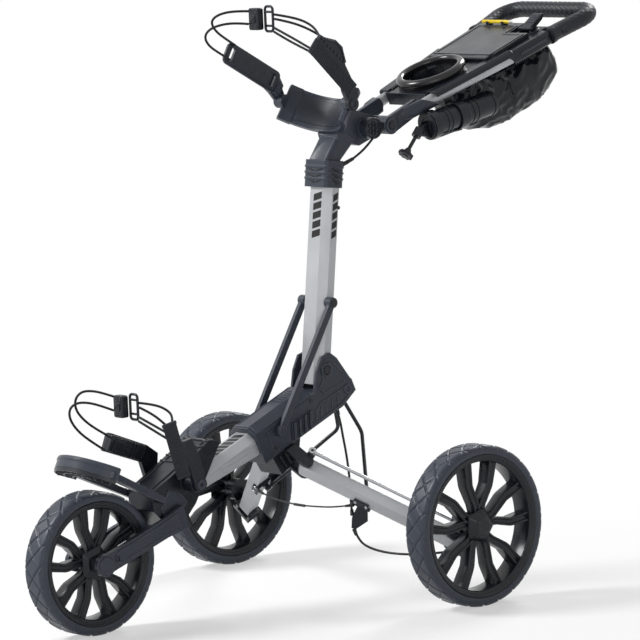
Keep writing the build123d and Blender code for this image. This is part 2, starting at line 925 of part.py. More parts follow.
with BuildPart() as strut_left:
    with BuildSketch(side_plane(strut_inner)):
        Polygon(
            strut_corner(strut_foot, 0, -strut_width / 2),
            strut_corner(strut_top, 0, -strut_width / 2),
            strut_corner(strut_top, 0, strut_width / 2),
            strut_corner(strut_foot, 0, strut_width / 2),
            align=None,
        )
        for end in (strut_top, strut_foot):
            with Locations((end.Y, end.Z)):
                Circle(strut_boss)
    extrude(amount=strut_thickness)
    with BuildSketch(side_plane(tube_width / 2 + sliding_gap)):
        with Locations((strut_top.Y, strut_top.Z)):
            Circle(strut_boss)
    extrude(amount=strut_inner - tube_width / 2 - sliding_gap)
    with BuildSketch(side_plane(housing_half_width + side_gap)):
        with Locations((strut_foot.Y, strut_foot.Z)):
            Circle(strut_foot_boss)
    extrude(amount=strut_foot_length)
    with BuildSketch(side_plane(0)):
        with Locations((strut_top.Y, strut_top.Z)):
            Circle(strut_pin_diameter / 2 + running_clearance)
    extrude(amount=2 * strut_inner, mode=Mode.SUBTRACT)
save(strut_left.part, "strut_left")
mirrored(strut_left.part, "strut_right")

with BuildPart() as mast_pins:
    for centre, diameter, half in (
        (strut_top, strut_pin_diameter, strut_inner + strut_thickness),
        (handle_pivot, handle_pin_diameter, lug_half_width + knuckle_thickness + side_gap),
    ):
        with BuildSketch(side_plane(-half - sliding_gap - pin_head)):
            with Locations((centre.Y, centre.Z)):
                Circle(diameter / 2)
        extrude(amount=2 * (half + sliding_gap + pin_head))
        for hand in (-1, 1):
            with BuildSketch(side_plane(hand * (half + sliding_gap))):
                with Locations((centre.Y, centre.Z)):
                    RegularPolygon(diameter / 2 + pin_flange, 6)
            extrude(amount=hand * pin_head)
save(mast_pins.part, "mast_pins")


# Leg bracket under the housing, with its tilted lugs

lug_low = leg_height / 2 + sliding_gap + side_gap
lug_high = lug_low + lug_thickness
with BuildPart() as leg_bracket:
    with BuildSketch(side_plane(-leg_pivot_x / 2)):
        Polygon(
            spine_side(leg_pivot_along - leg_root_front, housing_bottom),
            spine_side(leg_pivot_along + leg_root_rear, housing_bottom),
            spine_side(leg_pivot_along + leg_width / 2, leg_pivot_up + lug_thickness),
            spine_side(leg_pivot_along - leg_root_rear, leg_pivot_up),
            align=None,
        )
    extrude(amount=leg_pivot_x)
    for low in (lug_low, -lug_high):
        with BuildSketch(leg_plane(leg_inner, low)):
            Circle(leg_width / 2)
            with Locations((lug_reach * leg_line.X * -1.0, lug_reach * leg_side.X * -1.0)):
                Circle(leg_width / 2)
            make_hull()
            if low > 0:
                with Locations((0, tie_offset)):
                    Circle(tie_eye_diameter / 2)
                with Locations((0, tie_offset / 2)):
                    Rectangle(tie_eye_diameter, tie_offset)
        extrude(amount=lug_thickness)
    with BuildSketch(leg_plane(leg_inner, -2 * leg_height)):
        Circle(leg_pin_diameter / 2 + running_clearance)
    extrude(amount=4 * leg_height, mode=Mode.SUBTRACT)
    with BuildSketch(leg_plane(leg_point(0, tie_offset, 0), lug_low)):
        Circle(tie_pin_diameter / 2 + running_clearance)
    extrude(amount=lug_thickness, mode=Mode.SUBTRACT)
    with BuildSketch(across_plane(spine(leg_pivot_along, housing_bottom), spine_up)):
        Rectangle(4 * leg_pivot_x, 4 * leg_pivot_x)
    extrude(amount=leg_pivot_x, mode=Mode.SUBTRACT)
    with BuildSketch(side_plane(0)):
        with Locations((leg_inner.Y, leg_inner.Z)):
            Rectangle(4 * leg_pivot_x, 4 * leg_pivot_x)
    extrude(amount=-2 * leg_pivot_x, mode=Mode.SUBTRACT)
    mirror(about=Plane.YZ)
save(leg_bracket.part, "leg_bracket")


# Rear legs with their tie rods, clamps, links and wheel carriers

with BuildPart() as left_leg:
    with BuildSketch(leg_plane(leg_inner, -leg_height / 2)):
        with Locations((leg_length / 2, 0)):
            Rectangle(leg_length, leg_width)
        with Locations((0, 0), (leg_length, 0)):
            Circle(leg_width / 2)
    extrude(amount=leg_height)
    with BuildSketch(leg_plane(leg_inner, -leg_height / 2)):
        with Locations((0, 0), (leg_length, 0)):
            Circle(leg_pin_diameter / 2 + running_clearance)
    extrude(amount=leg_height, mode=Mode.SUBTRACT)
save(left_leg.part, "left_leg")
mirrored(left_leg.part, "right_leg")

tie_level = lug_high + sliding_gap
with BuildPart() as left_tie_rod:
    with BuildSketch(leg_plane(leg_point(0, tie_offset, 0), tie_level)):
        with Locations((0, 0), (leg_length, 0)):
            Circle(tie_eye_diameter / 2)
    extrude(amount=tie_eye_thickness)
    rod_start = leg_point(0, tie_offset, tie_level + tie_eye_thickness / 2)
    with BuildSketch(Plane(origin=rod_start, x_dir=leg_side, z_dir=leg_line)):
        Circle(tie_rod_diameter / 2)
    extrude(amount=leg_length)
    with BuildSketch(leg_plane(leg_point(0, tie_offset, 0), tie_level)):
        with Locations((0, 0), (leg_length, 0)):
            Circle(tie_pin_diameter / 2 + running_clearance)
    extrude(amount=tie_eye_thickness, mode=Mode.SUBTRACT)
save(left_tie_rod.part, "left_tie_rod")
mirrored(left_tie_rod.part, "right_tie_rod")

clamp_top = -leg_height / 2 - seat_clearance
clamp_bottom = clamp_top - clamp_floor
clamp_half = leg_width / 2 + seat_clearance
clamp_middle = (clamp_start + clamp_end) / 2
clamp_length = clamp_end - clamp_start
with BuildPart() as right_clamp_form:
    with BuildSketch(leg_plane(leg_inner, clamp_bottom)):
        with Locations((clamp_middle, 0)):
            Rectangle(clamp_length, 2 * (clamp_half + clamp_wall))
    extrude(amount=clamp_top - clamp_bottom)
    for hand in (-1, 1):
        with BuildSketch(leg_plane(leg_inner, clamp_bottom)):
            with Locations((clamp_middle, hand * (clamp_half + clamp_wall / 2))):
                Rectangle(clamp_length - 2 * clamp_cheek_inset, clamp_wall)
        extrude(amount=leg_height * clamp_cheek_share)
    with BuildSketch(leg_plane(leg_point(link_pin_along, link_pin_side, 0), clamp_bottom)):
        Circle(tie_pin_diameter / 2)
    extrude(amount=-(link_pin_drop + tie_eye_thickness / 2 + clamp_bottom + side_gap))
mirrored(right_clamp_form.part, "right_leg_clamp")

guide_top = leg_point(guide_along, guide_side, clamp_bottom)
guide_tip = leg_point(guide_tip_along, guide_tip_side, guide_tip_up)
guide_line = (guide_tip - guide_top).normalized()
guide_middle = Plane(origin=guide_top + guide_line * guide_length, x_dir=leg_line, z_dir=guide_line)
with BuildPart() as left_leg_clamp:
    add(right_clamp_form.part)
    with BuildSketch(Plane(origin=guide_top - guide_line, x_dir=leg_line, z_dir=guide_line)):
        RectangleRounded(guide_root_width, guide_thickness, guide_corner)
    with BuildSketch(guide_middle):
        RectangleRounded(guide_width, guide_thickness, guide_corner)
    loft()
    with BuildSketch(guide_middle):
        RectangleRounded(guide_width, guide_thickness, guide_corner)
    with BuildSketch(Plane(origin=guide_tip, x_dir=leg_line, z_dir=guide_line)):
        with Locations((guide_tip_shift, 0)):
            RectangleRounded(guide_tip_width, guide_thickness, guide_corner)
    loft()
save(left_leg_clamp.part, "left_leg_clamp")

link_eye = leg_point(link_pin_along, link_pin_side, -link_pin_drop)
link_elbow = spine(link_along, link_elbow_up, link_elbow_x)
link_head = spine(link_along, link_head_up, link_head_x)
with BuildPart() as left_link:
    with BuildLine() as link_path:
        FilletPolyline(link_head, link_elbow, link_eye, radius=link_bend)
    with BuildSketch(Plane(origin=link_head, z_dir=link_path.line % 0)):
        Circle(link_rod_diameter / 2)
    sweep()
    with BuildSketch(leg_plane(link_eye, -tie_eye_thickness / 2)):
        Circle(tie_eye_diameter / 2)
    extrude(amount=tie_eye_thickness)
    with BuildSketch(leg_plane(link_eye, -2 * link_rod_diameter)):
        Circle(tie_pin_diameter / 2 + running_clearance)
    extrude(amount=4 * link_rod_diameter, mode=Mode.SUBTRACT)
save(left_link.part, "left_link")
mirrored(left_link.part, "right_link")

hub_inner_face = rear_axle.X - hub_length / 2
boss_start = leg_outer.X + carrier_boss_inset
with BuildPart() as left_hub_carrier:
    for low in (lug_low, -lug_high):
        with BuildSketch(leg_plane(leg_outer, low)):
            Circle(leg_width / 2)
            with Locations((carrier_reach / 2, carrier_shift)):
                Rectangle(carrier_reach, carrier_height)
            if low > 0:
                with Locations((0, tie_offset)):
                    Circle(tie_eye_diameter / 2)
                with Locations((0, tie_offset / 2)):
                    Rectangle(tie_eye_diameter, tie_offset)
        extrude(amount=lug_thickness)
    with BuildSketch(leg_plane(leg_outer, -lug_high)):
        with Locations(((carrier_web + carrier_reach) / 2, carrier_shift)):
            Rectangle(carrier_reach - carrier_web, carrier_height)
    extrude(amount=lug_high + carrier_rise)
    with BuildSketch(side_plane(boss_start)):
        with Locations((rear_axle.Y, rear_axle.Z)):
            Circle(carrier_boss_radius)
    extrude(amount=hub_inner_face - side_gap - boss_start)
    with BuildSketch(side_plane(hub_inner_face - side_gap)):
        with Locations((rear_axle.Y, rear_axle.Z)):
            Rectangle(8 * carrier_boss_radius, 8 * carrier_boss_radius)
    extrude(amount=hub_length, mode=Mode.SUBTRACT)
    with BuildSketch(side_plane(boss_start)):
        with Locations((rear_axle.Y, rear_axle.Z)):
            Circle(axle_diameter / 2)
    extrude(amount=rear_axle.X + hub_length / 2 + axle_end - boss_start)
    with BuildSketch(leg_plane(leg_outer, -lug_high)):
        Circle(leg_pin_diameter / 2)
    extrude(amount=2 * lug_high)
    with BuildSketch(leg_plane(leg_outer + leg_side * tie_offset, lug_low)):
        Circle(tie_pin_diameter / 2)
    extrude(amount=tie_level + tie_eye_thickness - lug_low)
save(left_hub_carrier.part, "left_hub_carrier")
mirrored(left_hub_carrier.part, "right_hub_carrier")


# Front end: bracket, fork and bag rest

bracket_profile = [
    spine_side(tube_front + bracket_grip * along, bracket_crown * up) for along, up in bracket_grip_shape
] + [
    front_side(bracket_back + bracket_length * along, bracket_foot + bracket_height * up)
    for along, up in bracket_shape
]
lower_hinge = Vector(0, front_axle.Y + lower_hinge_back, lower_hinge_height)
with BuildPart() as front_bracket:
    with BuildSketch(side_plane(-bracket_half_width)):
        Polygon(*bracket_profile, align=None)
    extrude(amount=2 * bracket_half_width)
    fillet(front_bracket.edges().filter_by(Axis.X), bracket_corner)
    add(tube_space, mode=Mode.SUBTRACT)
    for hand in (-1, 1):
        with BuildSketch(side_plane(hand * (bracket_half_width - tube_wall))):
            with Locations((lower_hinge.Y, lower_hinge.Z)):
                Circle(lower_boss_radius)
        extrude(amount=hand * (lower_arm_inner - sliding_gap - bracket_half_width + tube_wall))
        with BuildSketch(side_plane(hand * (bracket_half_width - tube_wall))):
            with Locations((lower_hinge.Y, lower_hinge.Z)):
                Circle(arm_pin_diameter / 2)
        extrude(amount=hand * (lower_arm_inner + lower_arm_thickness - bracket_half_width + tube_wall))
save(front_bracket.part, "front_bracket")

fork_root = Vector(0, front_axle.Y + fork_root_back, fork_root_height)
fork_run = (front_axle - fork_root).normalized()
fork_square = Vector(0, -fork_run.Z, fork_run.Y)


def fork_corner(point, along, across):
    """A side view point beside the fork's line."""
    corner = point + fork_run * along + fork_square * across
    return (corner.Y, corner.Z)


with BuildPart() as front_fork:
    for hand in (-1, 1):
        with BuildSketch(side_plane(hand * fork_inner)):
            Polygon(
                fork_corner(fork_root, -fork_root_boss, -fork_depth / 2 - fork_spacer),
                fork_corner(fork_root, fork_shoulder, -fork_depth / 2),
                fork_corner(front_axle, 0, -fork_depth / 2),
                fork_corner(front_axle, 0, fork_depth / 2),
                fork_corner(fork_root, fork_shoulder, fork_depth / 2),
                fork_corner(fork_root, -fork_root_boss, fork_depth / 2 + fork_spacer),
                align=None,
            )
            with Locations((front_axle.Y, front_axle.Z)):
                Circle(fork_boss_diameter / 2)
        extrude(amount=hand * fork_thickness)
        with BuildSketch(side_plane(hand * (bracket_half_width + seat_clearance))):
            with Locations((fork_root.Y, fork_root.Z)):
                Circle(fork_root_boss)
        extrude(amount=hand * (fork_inner - bracket_half_width))
        with BuildSketch(side_plane(hand * (hub_length / 2 + side_gap))):
            with Locations((front_axle.Y, front_axle.Z)):
                Circle(axle_diameter / 2 + fork_spacer)
        extrude(amount=hand * (fork_inner - hub_length / 2))
    with BuildSketch(side_plane(-2 * fork_inner)):
        with Locations((front_axle.Y, front_axle.Z)):
            Circle(axle_diameter / 2 + running_clearance)
    extrude(amount=4 * fork_inner, mode=Mode.SUBTRACT)
save(front_fork.part, "front_fork")

# Bag rest: a crescent with a raised lip, on two rails
rest_slope = radians(rest_tilt)
rest_forward = Vector(0, -cos(rest_slope), sin(rest_slope))
rest_up = Vector(0, sin(rest_slope), cos(rest_slope))
rest_root = Vector(0, front_axle.Y + rest_root_back, rest_root_height)
rest_spread = radians(rest_half_angle)
rest_end_x = rest_radius * sin(rest_spread)
rest_end_along = rest_along - rest_radius + rest_radius * cos(rest_spread)
rest_plane = Plane(origin=rest_root, x_dir=(-1, 0, 0), z_dir=rest_up)
rail_inner_x = bracket_half_width + seat_clearance
with BuildPart() as lower_bag_rest:
    with BuildSketch(rest_plane):
        with Locations((0, rest_along - rest_radius)):
            Circle(rest_radius)
            Circle(rest_radius - 3 * rest_band, mode=Mode.SUBTRACT)
        Polygon(
            (-rest_end_x, rest_end_along),
            (rest_end_x, rest_end_along),
            (rest_end_x, rest_along + rest_band),
            (-rest_end_x, rest_along + rest_band),
            align=None,
            mode=Mode.INTERSECT,
        )
    extrude(amount=rest_thickness / 2, both=True)
    with BuildSketch(rest_plane):
        with Locations((0, rest_along - rest_radius)):
            Circle(rest_radius)
            Circle(rest_radius - rest_band, mode=Mode.SUBTRACT)
        Polygon(
            (-rest_end_x, rest_end_along),
            (rest_end_x, rest_end_along),
            (rest_end_x, rest_along + rest_band),
            (-rest_end_x, rest_along + rest_band),
            align=None,
            mode=Mode.INTERSECT,
        )
    extrude(amount=rest_thickness / 2 + rest_lip_height)
    with BuildSketch(rest_plane):
        for hand in (-1, 1):
            Polygon(
                (hand * rail_inner_x, rest_rail_start),
                (hand * (rail_inner_x + rest_rail_width), rest_rail_start),
                (hand * rest_end_x, rest_end_along + rest_band),
                (hand * (rest_end_x - rest_rail_end_width), rest_end_along + rest_band),
                align=None,
            )
    extrude(amount=rest_thickness / 2, both=True)
save(lower_bag_rest.part, "lower_bag_rest")


def hinge_outline(shape):
    """A side view outline given in shares of a lower arm's reach and rise."""
    return [
        (lower_hinge.Y + lower_arm_reach * along, lower_hinge.Z + lower_arm_rise * up) for along, up in shape
    ]


def lower_arm(hand, shape, block, name):
    """A lower cradle arm that turns on the front bracket."""
    with BuildPart() as arm:
        with BuildSketch(side_plane(hand * lower_arm_inner)):
            with Locations((lower_hinge.Y, lower_hinge.Z)):
                Circle(lower_hinge_radius)
            Polygon(*hinge_outline(shape), align=None)
        extrude(amount=hand * lower_arm_thickness)
        if block:
            with BuildSketch(side_plane(hand * (lower_arm_inner + lower_arm_thickness))):
                Polygon(*hinge_outline(block), align=None)
            extrude(amount=hand * lower_pad_thickness, taper=lower_pad_draft)
        with BuildSketch(side_plane(0)):
            with Locations((lower_hinge.Y, lower_hinge.Z)):
                Circle(arm_pin_diameter / 2 + running_clearance)
        extrude(amount=hand * 4 * lower_arm_inner, mode=Mode.SUBTRACT)
    return save(arm.part, name)


lower_arm(-1, right_arm_shape, lower_pad_shape, "lower_arm_right")
lower_arm(1, left_arm_shape, [], "lower_arm_left")

lower_webbing_x = lower_arm_inner + lower_arm_thickness + seat_clearance
with BuildPart() as lower_webbing:
    with BuildSketch(side_plane(lower_webbing_x)):
        Polygon(*hinge_outline(lower_webbing_shape), align=None)
    extrude(amount=webbing_thickness)
save(lower_webbing.part, "lower_webbing")

# Frame pins: mast bolt, leg pins, tie pins and the front axle
with BuildPart() as frame_pins:
    with BuildSketch(side_plane(-ear_outer - pin_head)):
        with Locations((mast_pivot.Y, mast_pivot.Z)):
            Circle(pivot_bolt_diameter / 2)
    extrude(amount=2 * (ear_outer + pin_head))
    for hand in (-1, 1):
        with BuildSketch(side_plane(hand * (ear_outer + seat_clearance))):
            with Locations((mast_pivot.Y, mast_pivot.Z)):
                RegularPolygon(pivot_bolt_diameter / 2 + pin_flange, 6)
        extrude(amount=hand * pin_head)
    with BuildSketch(side_plane(-fork_inner - fork_thickness - pin_head)):
        with Locations((front_axle.Y, front_axle.Z)):
            Circle(axle_diameter / 2)
    extrude(amount=2 * (fork_inner + fork_thickness + pin_head))
    for hand in (-1, 1):
        with BuildSketch(side_plane(hand * (fork_inner + fork_thickness + seat_clearance))):
            with Locations((front_axle.Y, front_axle.Z)):
                RegularPolygon(axle_diameter / 2 + pin_flange, 6)
        extrude(amount=hand * pin_head)
    with BuildSketch(leg_plane(leg_inner, -lug_high - seat_clearance)):
        Circle(leg_pin_diameter / 2)
    extrude(amount=2 * (lug_high + seat_clearance))
    with BuildSketch(leg_plane(leg_point(0, tie_offset, 0), lug_low)):
        Circle(tie_pin_diameter / 2)
    extrude(amount=tie_level + tie_eye_thickness - lug_low)
    with BuildSketch(leg_plane(leg_inner, -lug_high - seat_clearance - pin_head)):
        Circle(leg_pin_diameter / 2 + pin_head)
    extrude(amount=pin_head)
    mirror(about=Plane.YZ)
save(frame_pins.part, "frame_pins")


# Handle: knuckles, rails, grip loop and console


knuckle_inner = lug_half_width + side_gap
knuckle_outer = knuckle_inner + knuckle_thickness
rail_front_x = knuckle_outer + seat_clearance + rail_width / 2


def rail_place(along):
    """How far a rail's middle lies from the middle of the handle."""
    if along <= rail_middle:
        share = max(0, along - rail_bend) / (rail_middle - rail_bend)
        return rail_front_x + share * (rail_middle_x - rail_front_x)
    share = (along - rail_middle) / (rail_rear - rail_middle)
    return rail_middle_x + share * (rail_rear_x - rail_middle_x)


with BuildPart() as handle_knuckles:
    for hand in (-1, 1):
        with BuildSketch(side_plane(hand * knuckle_inner)):
            with Locations((handle_pivot.Y, handle_pivot.Z)):
                Circle(knuckle_radius)
            Polygon(
                handle_side(0, side_gap - knuckle_radius),
                handle_side(rail_front + knuckle_cheek, handle_lift - rail_height / 2 - knuckle_margin),
                handle_side(rail_front + knuckle_nose, handle_lift),
                handle_side(rail_front + knuckle_cheek, handle_lift + rail_height / 2 + knuckle_margin),
                handle_side(0, knuckle_radius - side_gap),
                align=None,
            )
        extrude(amount=hand * knuckle_thickness)
    with BuildSketch(side_plane(-2 * knuckle_outer)):
        with Locations((handle_pivot.Y, handle_pivot.Z)):
            Circle(handle_pin_diameter / 2 + running_clearance)
    extrude(amount=4 * knuckle_outer, mode=Mode.SUBTRACT)
save(handle_knuckles.part, "handle_knuckles")

with BuildPart() as handle_rails:
    for hand in (-1, 1):
        rail_points = [
            handle_point(rail_front, handle_lift, hand * rail_front_x),
            handle_point(rail_bend, handle_lift, hand * rail_front_x),
            handle_point(rail_middle, handle_lift, hand * rail_middle_x),
            handle_point(rail_rear, handle_lift, hand * rail_rear_x),
        ]
        with BuildLine() as rail_path:
            FilletPolyline(*rail_points, radius=rail_bend_radius)
        with BuildSketch(Plane(origin=rail_points[0], x_dir=(1, 0, 0), z_dir=rail_path.line % 0)):
            Ellipse(rail_width / 2, rail_height / 2)
        sweep()
save(handle_rails.part, "handle_rails")

loop_start = rail_rear + sliding_gap
loop_flare = loop_knee * (rail_rear_x - rail_middle_x) / (rail_rear - rail_middle)
with BuildPart() as handle_loop:
    loop_points = [
        handle_point(loop_start, handle_lift, rail_rear_x),
        handle_point(loop_start + loop_knee, handle_lift, rail_rear_x + loop_flare),
        handle_point(handle_length, handle_lift, handle_half_width),
        handle_point(handle_length, handle_lift, -handle_half_width),
        handle_point(loop_start + loop_knee, handle_lift, -rail_rear_x - loop_flare),
        handle_point(loop_start, handle_lift, -rail_rear_x),
    ]
    with BuildLine() as loop_path:
        FilletPolyline(*loop_points, radius=loop_corner)
    with BuildSketch(Plane(origin=loop_points[0], z_dir=loop_path.line % 0)):
        Circle(grip_diameter / 2)
    sweep()
save(handle_loop.part, "handle_loop")

handle_plane = Plane(origin=handle_pivot, x_dir=(1, 0, 0), z_dir=handle_up)


def console_edge(along):
    """Half the console's width, clear of the rails."""
    return rail_place(along) - rail_width / 2 - side_gap


lid_level = tray_top + sliding_gap
lid_axis_along = lid_front + lid_thickness / 2
lid_axis_up = lid_level + lid_thickness / 2
lid_nose_half = lid_half_width - lid_corner
lever_along = lid_rear - lever_setback
lever_up = lid_level + lever_hub_diameter / 2 + side_gap
lever_x = lid_half_width - lever_width


grip_edge = rail_rear_x - grip_diameter / 2 - 2 * side_gap
console_pins = [
    (lid_axis_along, lid_axis_up, -lid_nose_half - side_gap, -1),
    (lid_axis_along, lid_axis_up, lid_nose_half + side_gap, 1),
    (lever_along, lever_up, lever_x - lever_width / 2 - side_gap, -1),
    (lever_along, lever_up, lever_x + lever_width / 2 + side_gap, 1),
]
with BuildPart() as console_tray:
    with BuildSketch(handle_plane.offset(tray_bottom)):
        Polygon(
            (-console_edge(tray_front), tray_front),
            (-console_edge(rail_middle), rail_middle),
            (-console_edge(rail_rear), rail_rear - side_gap),
            (-grip_edge, rail_rear - side_gap),
            (-grip_edge, tray_rear),
            (grip_edge, tray_rear),
            (grip_edge, rail_rear - side_gap),
            (console_edge(rail_rear), rail_rear - side_gap),
            (console_edge(rail_middle), rail_middle),
            (console_edge(tray_front), tray_front),
            align=None,
        )
    extrude(amount=tray_top - tray_bottom)
    with BuildSketch(handle_plane.offset(tray_bottom)):
        with Locations((0, cup_along)):
            Circle(cup_bore / 2 + tray_relief)
    extrude(amount=2 * tray_top, mode=Mode.SUBTRACT)
    with BuildSketch(handle_plane.offset(tray_top - pocket_depth)):
        with Locations((0, (lid_front + lid_rear) / 2)):
            RectangleRounded(
                2 * (lid_half_width - pocket_margin), lid_rear - lid_front - 2 * pocket_margin, lid_corner
            )
    extrude(amount=pocket_depth, mode=Mode.SUBTRACT)
    for along, up, inner, hand in console_pins:
        with BuildSketch(side_plane(inner)):
            Polygon(
                handle_side(along - ear_width / 2, tray_top - side_gap),
                handle_side(along + ear_width / 2, tray_top - side_gap),
                handle_side(along + ear_width / 2, up + ear_width / 3),
                handle_side(along - ear_width / 2, up + ear_width / 3),
                align=None,
            )
        extrude(amount=hand * console_ear)
        with BuildSketch(side_plane(inner)):
            with Locations(handle_side(along, up)):
                Circle(console_pin_diameter / 2)
        extrude(amount=-hand * console_pin_reach)
save(console_tray.part, "console_tray")

with BuildPart() as cup_holder:
    with BuildSketch(handle_plane.offset(tray_top + seat_clearance)):
        with Locations((0, cup_along)):
            Circle(cup_outer / 2)
            Circle(cup_bore / 2, mode=Mode.SUBTRACT)
    extrude(amount=cup_height)
    chamfer(cup_holder.faces().sort_by(Axis(handle_pivot, handle_up))[-1].edges(), cup_edge)
save(cup_holder.part, "cup_holder")

with BuildPart() as console_lid:
    with BuildSketch(handle_plane.offset(lid_level)):
        Polygon(
            (-lid_nose_half, lid_axis_along),
            (lid_nose_half, lid_axis_along),
            (lid_nose_half, lid_axis_along + ear_width / 2 + side_gap),
            (lid_half_width, lid_axis_along + 2 * lid_corner),
            (lid_half_width, lid_rear - lid_notch_length),
            (lid_half_width - lid_notch_width, lid_rear - lid_notch_length),
            (lid_half_width - lid_notch_width, lid_rear),
            (-lid_half_width, lid_rear),
            (-lid_half_width, lid_axis_along + 2 * lid_corner),
            (-lid_nose_half, lid_axis_along + ear_width / 2 + side_gap),
            align=None,
        )
    extrude(amount=lid_thickness)
    with BuildSketch(side_plane(-lid_nose_half)):
        with Locations(handle_side(lid_axis_along, lid_axis_up)):
            Circle(lid_thickness / 2)
    extrude(amount=2 * lid_nose_half)
    with BuildSketch(side_plane(-lid_half_width)):
        with Locations(handle_side(lid_axis_along, lid_axis_up)):
            Circle(console_pin_diameter / 2 + running_clearance)
    extrude(amount=2 * lid_half_width, mode=Mode.SUBTRACT)
save(console_lid.part, "console_lid")

with BuildPart() as brake_lever:
    with BuildSketch(side_plane(lever_x - lever_width / 2)):
        with Locations(handle_side(lever_along, lever_up)):
            Circle(lever_hub_diameter / 2)
        Polygon(
            handle_side(lever_along, lever_up - lever_hub_diameter / 2),
            handle_side(lever_along + lever_length * lever_bend, lever_up + lever_rise * lever_belly),
            handle_side(lever_along + lever_length, lever_up + lever_rise),
            handle_side(lever_along + lever_length * lever_tip, lever_up + lever_rise * lever_crown),
            handle_side(lever_along, lever_up + lever_hub_diameter / 2),
            align=None,
        )
    extrude(amount=lever_width)
    with BuildSketch(side_plane(lever_x - lever_width / 2)):
        with Locations(handle_side(lever_along, lever_up)):
            Circle(console_pin_diameter / 2 + running_clearance)
    extrude(amount=lever_width, mode=Mode.SUBTRACT)
save(brake_lever.part, "brake_lever")

# Umbrella tube, held in a bracket under the left rail
umbrella_slope = radians(umbrella_rise)
umbrella_line = Vector(0, cos(umbrella_slope), sin(umbrella_slope))
umbrella_front = handle_pivot + Vector(umbrella_x, umbrella_behind_pivot, -umbrella_below_pivot)
umbrella_plane = across_plane(umbrella_front, umbrella_line)
umbrella_radius = umbrella_diameter / 2
with BuildPart() as umbrella_tube:
    with BuildSketch(umbrella_plane):
        Circle(umbrella_radius)
    extrude(amount=umbrella_length)
    with BuildSketch(umbrella_plane.offset(umbrella_wall)):
        Circle(umbrella_radius - umbrella_wall)
    extrude(amount=umbrella_length, mode=Mode.SUBTRACT)
save(umbrella_tube.part, "umbrella_tube")

knob_slope = radians(knob_dip)
knob_line = Vector(0, -cos(knob_slope), -sin(knob_slope))
knob_origin = handle_pivot + Vector(umbrella_x, knob_behind_pivot, -knob_below_pivot)
knob_plane = across_plane(knob_origin, knob_line)
band_middle = umbrella_front + umbrella_line * (band_start + band_length / 2) - handle_pivot
hanger_along = band_middle.dot(handle_back)
hanger_low = band_middle.dot(handle_up)
with BuildPart() as umbrella_bracket:
    for start, length in ((-socket_wall, socket_depth), (band_start, band_length)):
        with BuildSketch(umbrella_plane.offset(start)):
            Circle(umbrella_radius + socket_wall)
        extrude(amount=length)
    with BuildSketch(umbrella_plane):
        with Locations((0, umbrella_radius + socket_wall / 2)):
            Rectangle(hanger_thickness, socket_wall)
    extrude(amount=band_start + band_length / 2)
    with BuildSketch(side_plane(hanger_inner)):
        Polygon(
            handle_side(hanger_along - hanger_width / 2, tray_bottom - seat_clearance),
            handle_side(hanger_along + hanger_width / 2, tray_bottom - seat_clearance),
            handle_side(hanger_along + hanger_width / 2, hanger_low),
            handle_side(hanger_along - hanger_width / 2, hanger_low),
            align=None,
        )
    extrude(amount=hanger_thickness)
    with BuildSketch(knob_plane.offset(-knob_boss_length / 2)):
        Circle(knob_boss_diameter / 2)
    extrude(amount=knob_boss_length)
    with BuildSketch(side_plane(umbrella_x - hanger_thickness / 2)):
        Polygon(
            (knob_origin.Y, knob_origin.Z - knob_boss_length / 2),
            (umbrella_front.Y, umbrella_front.Z - umbrella_radius),
            (umbrella_front.Y, umbrella_front.Z + umbrella_radius / 2),
            (knob_origin.Y, knob_origin.Z + knob_boss_length / 2),
            align=None,
        )
    extrude(amount=hanger_thickness)
    with BuildSketch(umbrella_plane.offset(-seat_clearance)):
        Circle(umbrella_radius + seat_clearance)
    extrude(amount=umbrella_length, mode=Mode.SUBTRACT)
    with BuildSketch(knob_plane.offset(-knob_boss_length)):
        Circle(knob_stem_diameter / 2 + running_clearance)
    extrude(amount=2 * knob_boss_length, mode=Mode.SUBTRACT)
save(umbrella_bracket.part, "umbrella_bracket")

with BuildPart() as umbrella_knob:
    with BuildSketch(knob_plane.offset(-knob_boss_length / 2 - knob_stem_end)):
        Circle(knob_stem_diameter / 2)
    extrude(amount=knob_boss_length / 2 + knob_stem_end + knob_length)
    with BuildSketch(knob_plane.offset(knob_length - knob_flange_thickness)):
        Circle(knob_flange_diameter / 2)
    extrude(amount=knob_flange_thickness)
    with BuildSketch(knob_plane.offset(knob_boss_length / 2 + sliding_gap)):
        Circle(knob_boss_diameter / 2)
    extrude(amount=knob_flange_thickness / 2)
save(umbrella_knob.part, "umbrella_knob")

# Storage bag: hangs under the console, narrow beside the umbrella tube
bag_top = tray_bottom - sliding_gap
bag_rear = handle_length - bag_end_inset
with BuildPart() as storage_bag:
    with BuildSketch(handle_plane.offset(bag_top)):
        Polygon(
            (-bag_neck_half, bag_front),
            (bag_neck_half, bag_front),
            (bag_neck_half, bag_shoulder),
            (bag_half_width, bag_shoulder + bag_half_width - bag_neck_half),
            (bag_half_width, bag_rear),
            (-bag_half_width, bag_rear),
            (-bag_half_width, bag_shoulder + bag_half_width - bag_neck_half),
            (-bag_neck_half, bag_shoulder),
            align=None,
        )
    extrude(amount=-bag_depth, taper=bag_taper)
save(storage_bag.part, "storage_bag")


# Buckles: a block and an open hook frame, between the cords


def buckle(centre, name):
    """A block with a strap slot, and the hook frame that catches it."""
    with BuildPart() as clasp:
        with BuildSketch(across_plane(centre + Vector(0, buckle_depth / 2, 0), (0, -1, 0))):
            with Locations((-buckle_width / 2, 0)):
                RectangleRounded(buckle_width, buckle_height, buckle_corner)
        extrude(amount=buckle_depth)
        with BuildSketch(across_plane(centre + Vector(0, hook_shift, 0), (0, -1, 0))):
            with Locations((hook_width / 2 + seat_clearance, 0)):
                RectangleRounded(hook_width, hook_height, buckle_corner)
                Rectangle(hook_width - 2 * hook_bar, hook_height - 2 * hook_bar, mode=Mode.SUBTRACT)
        extrude(amount=hook_depth)
    return save(clasp.part, name)


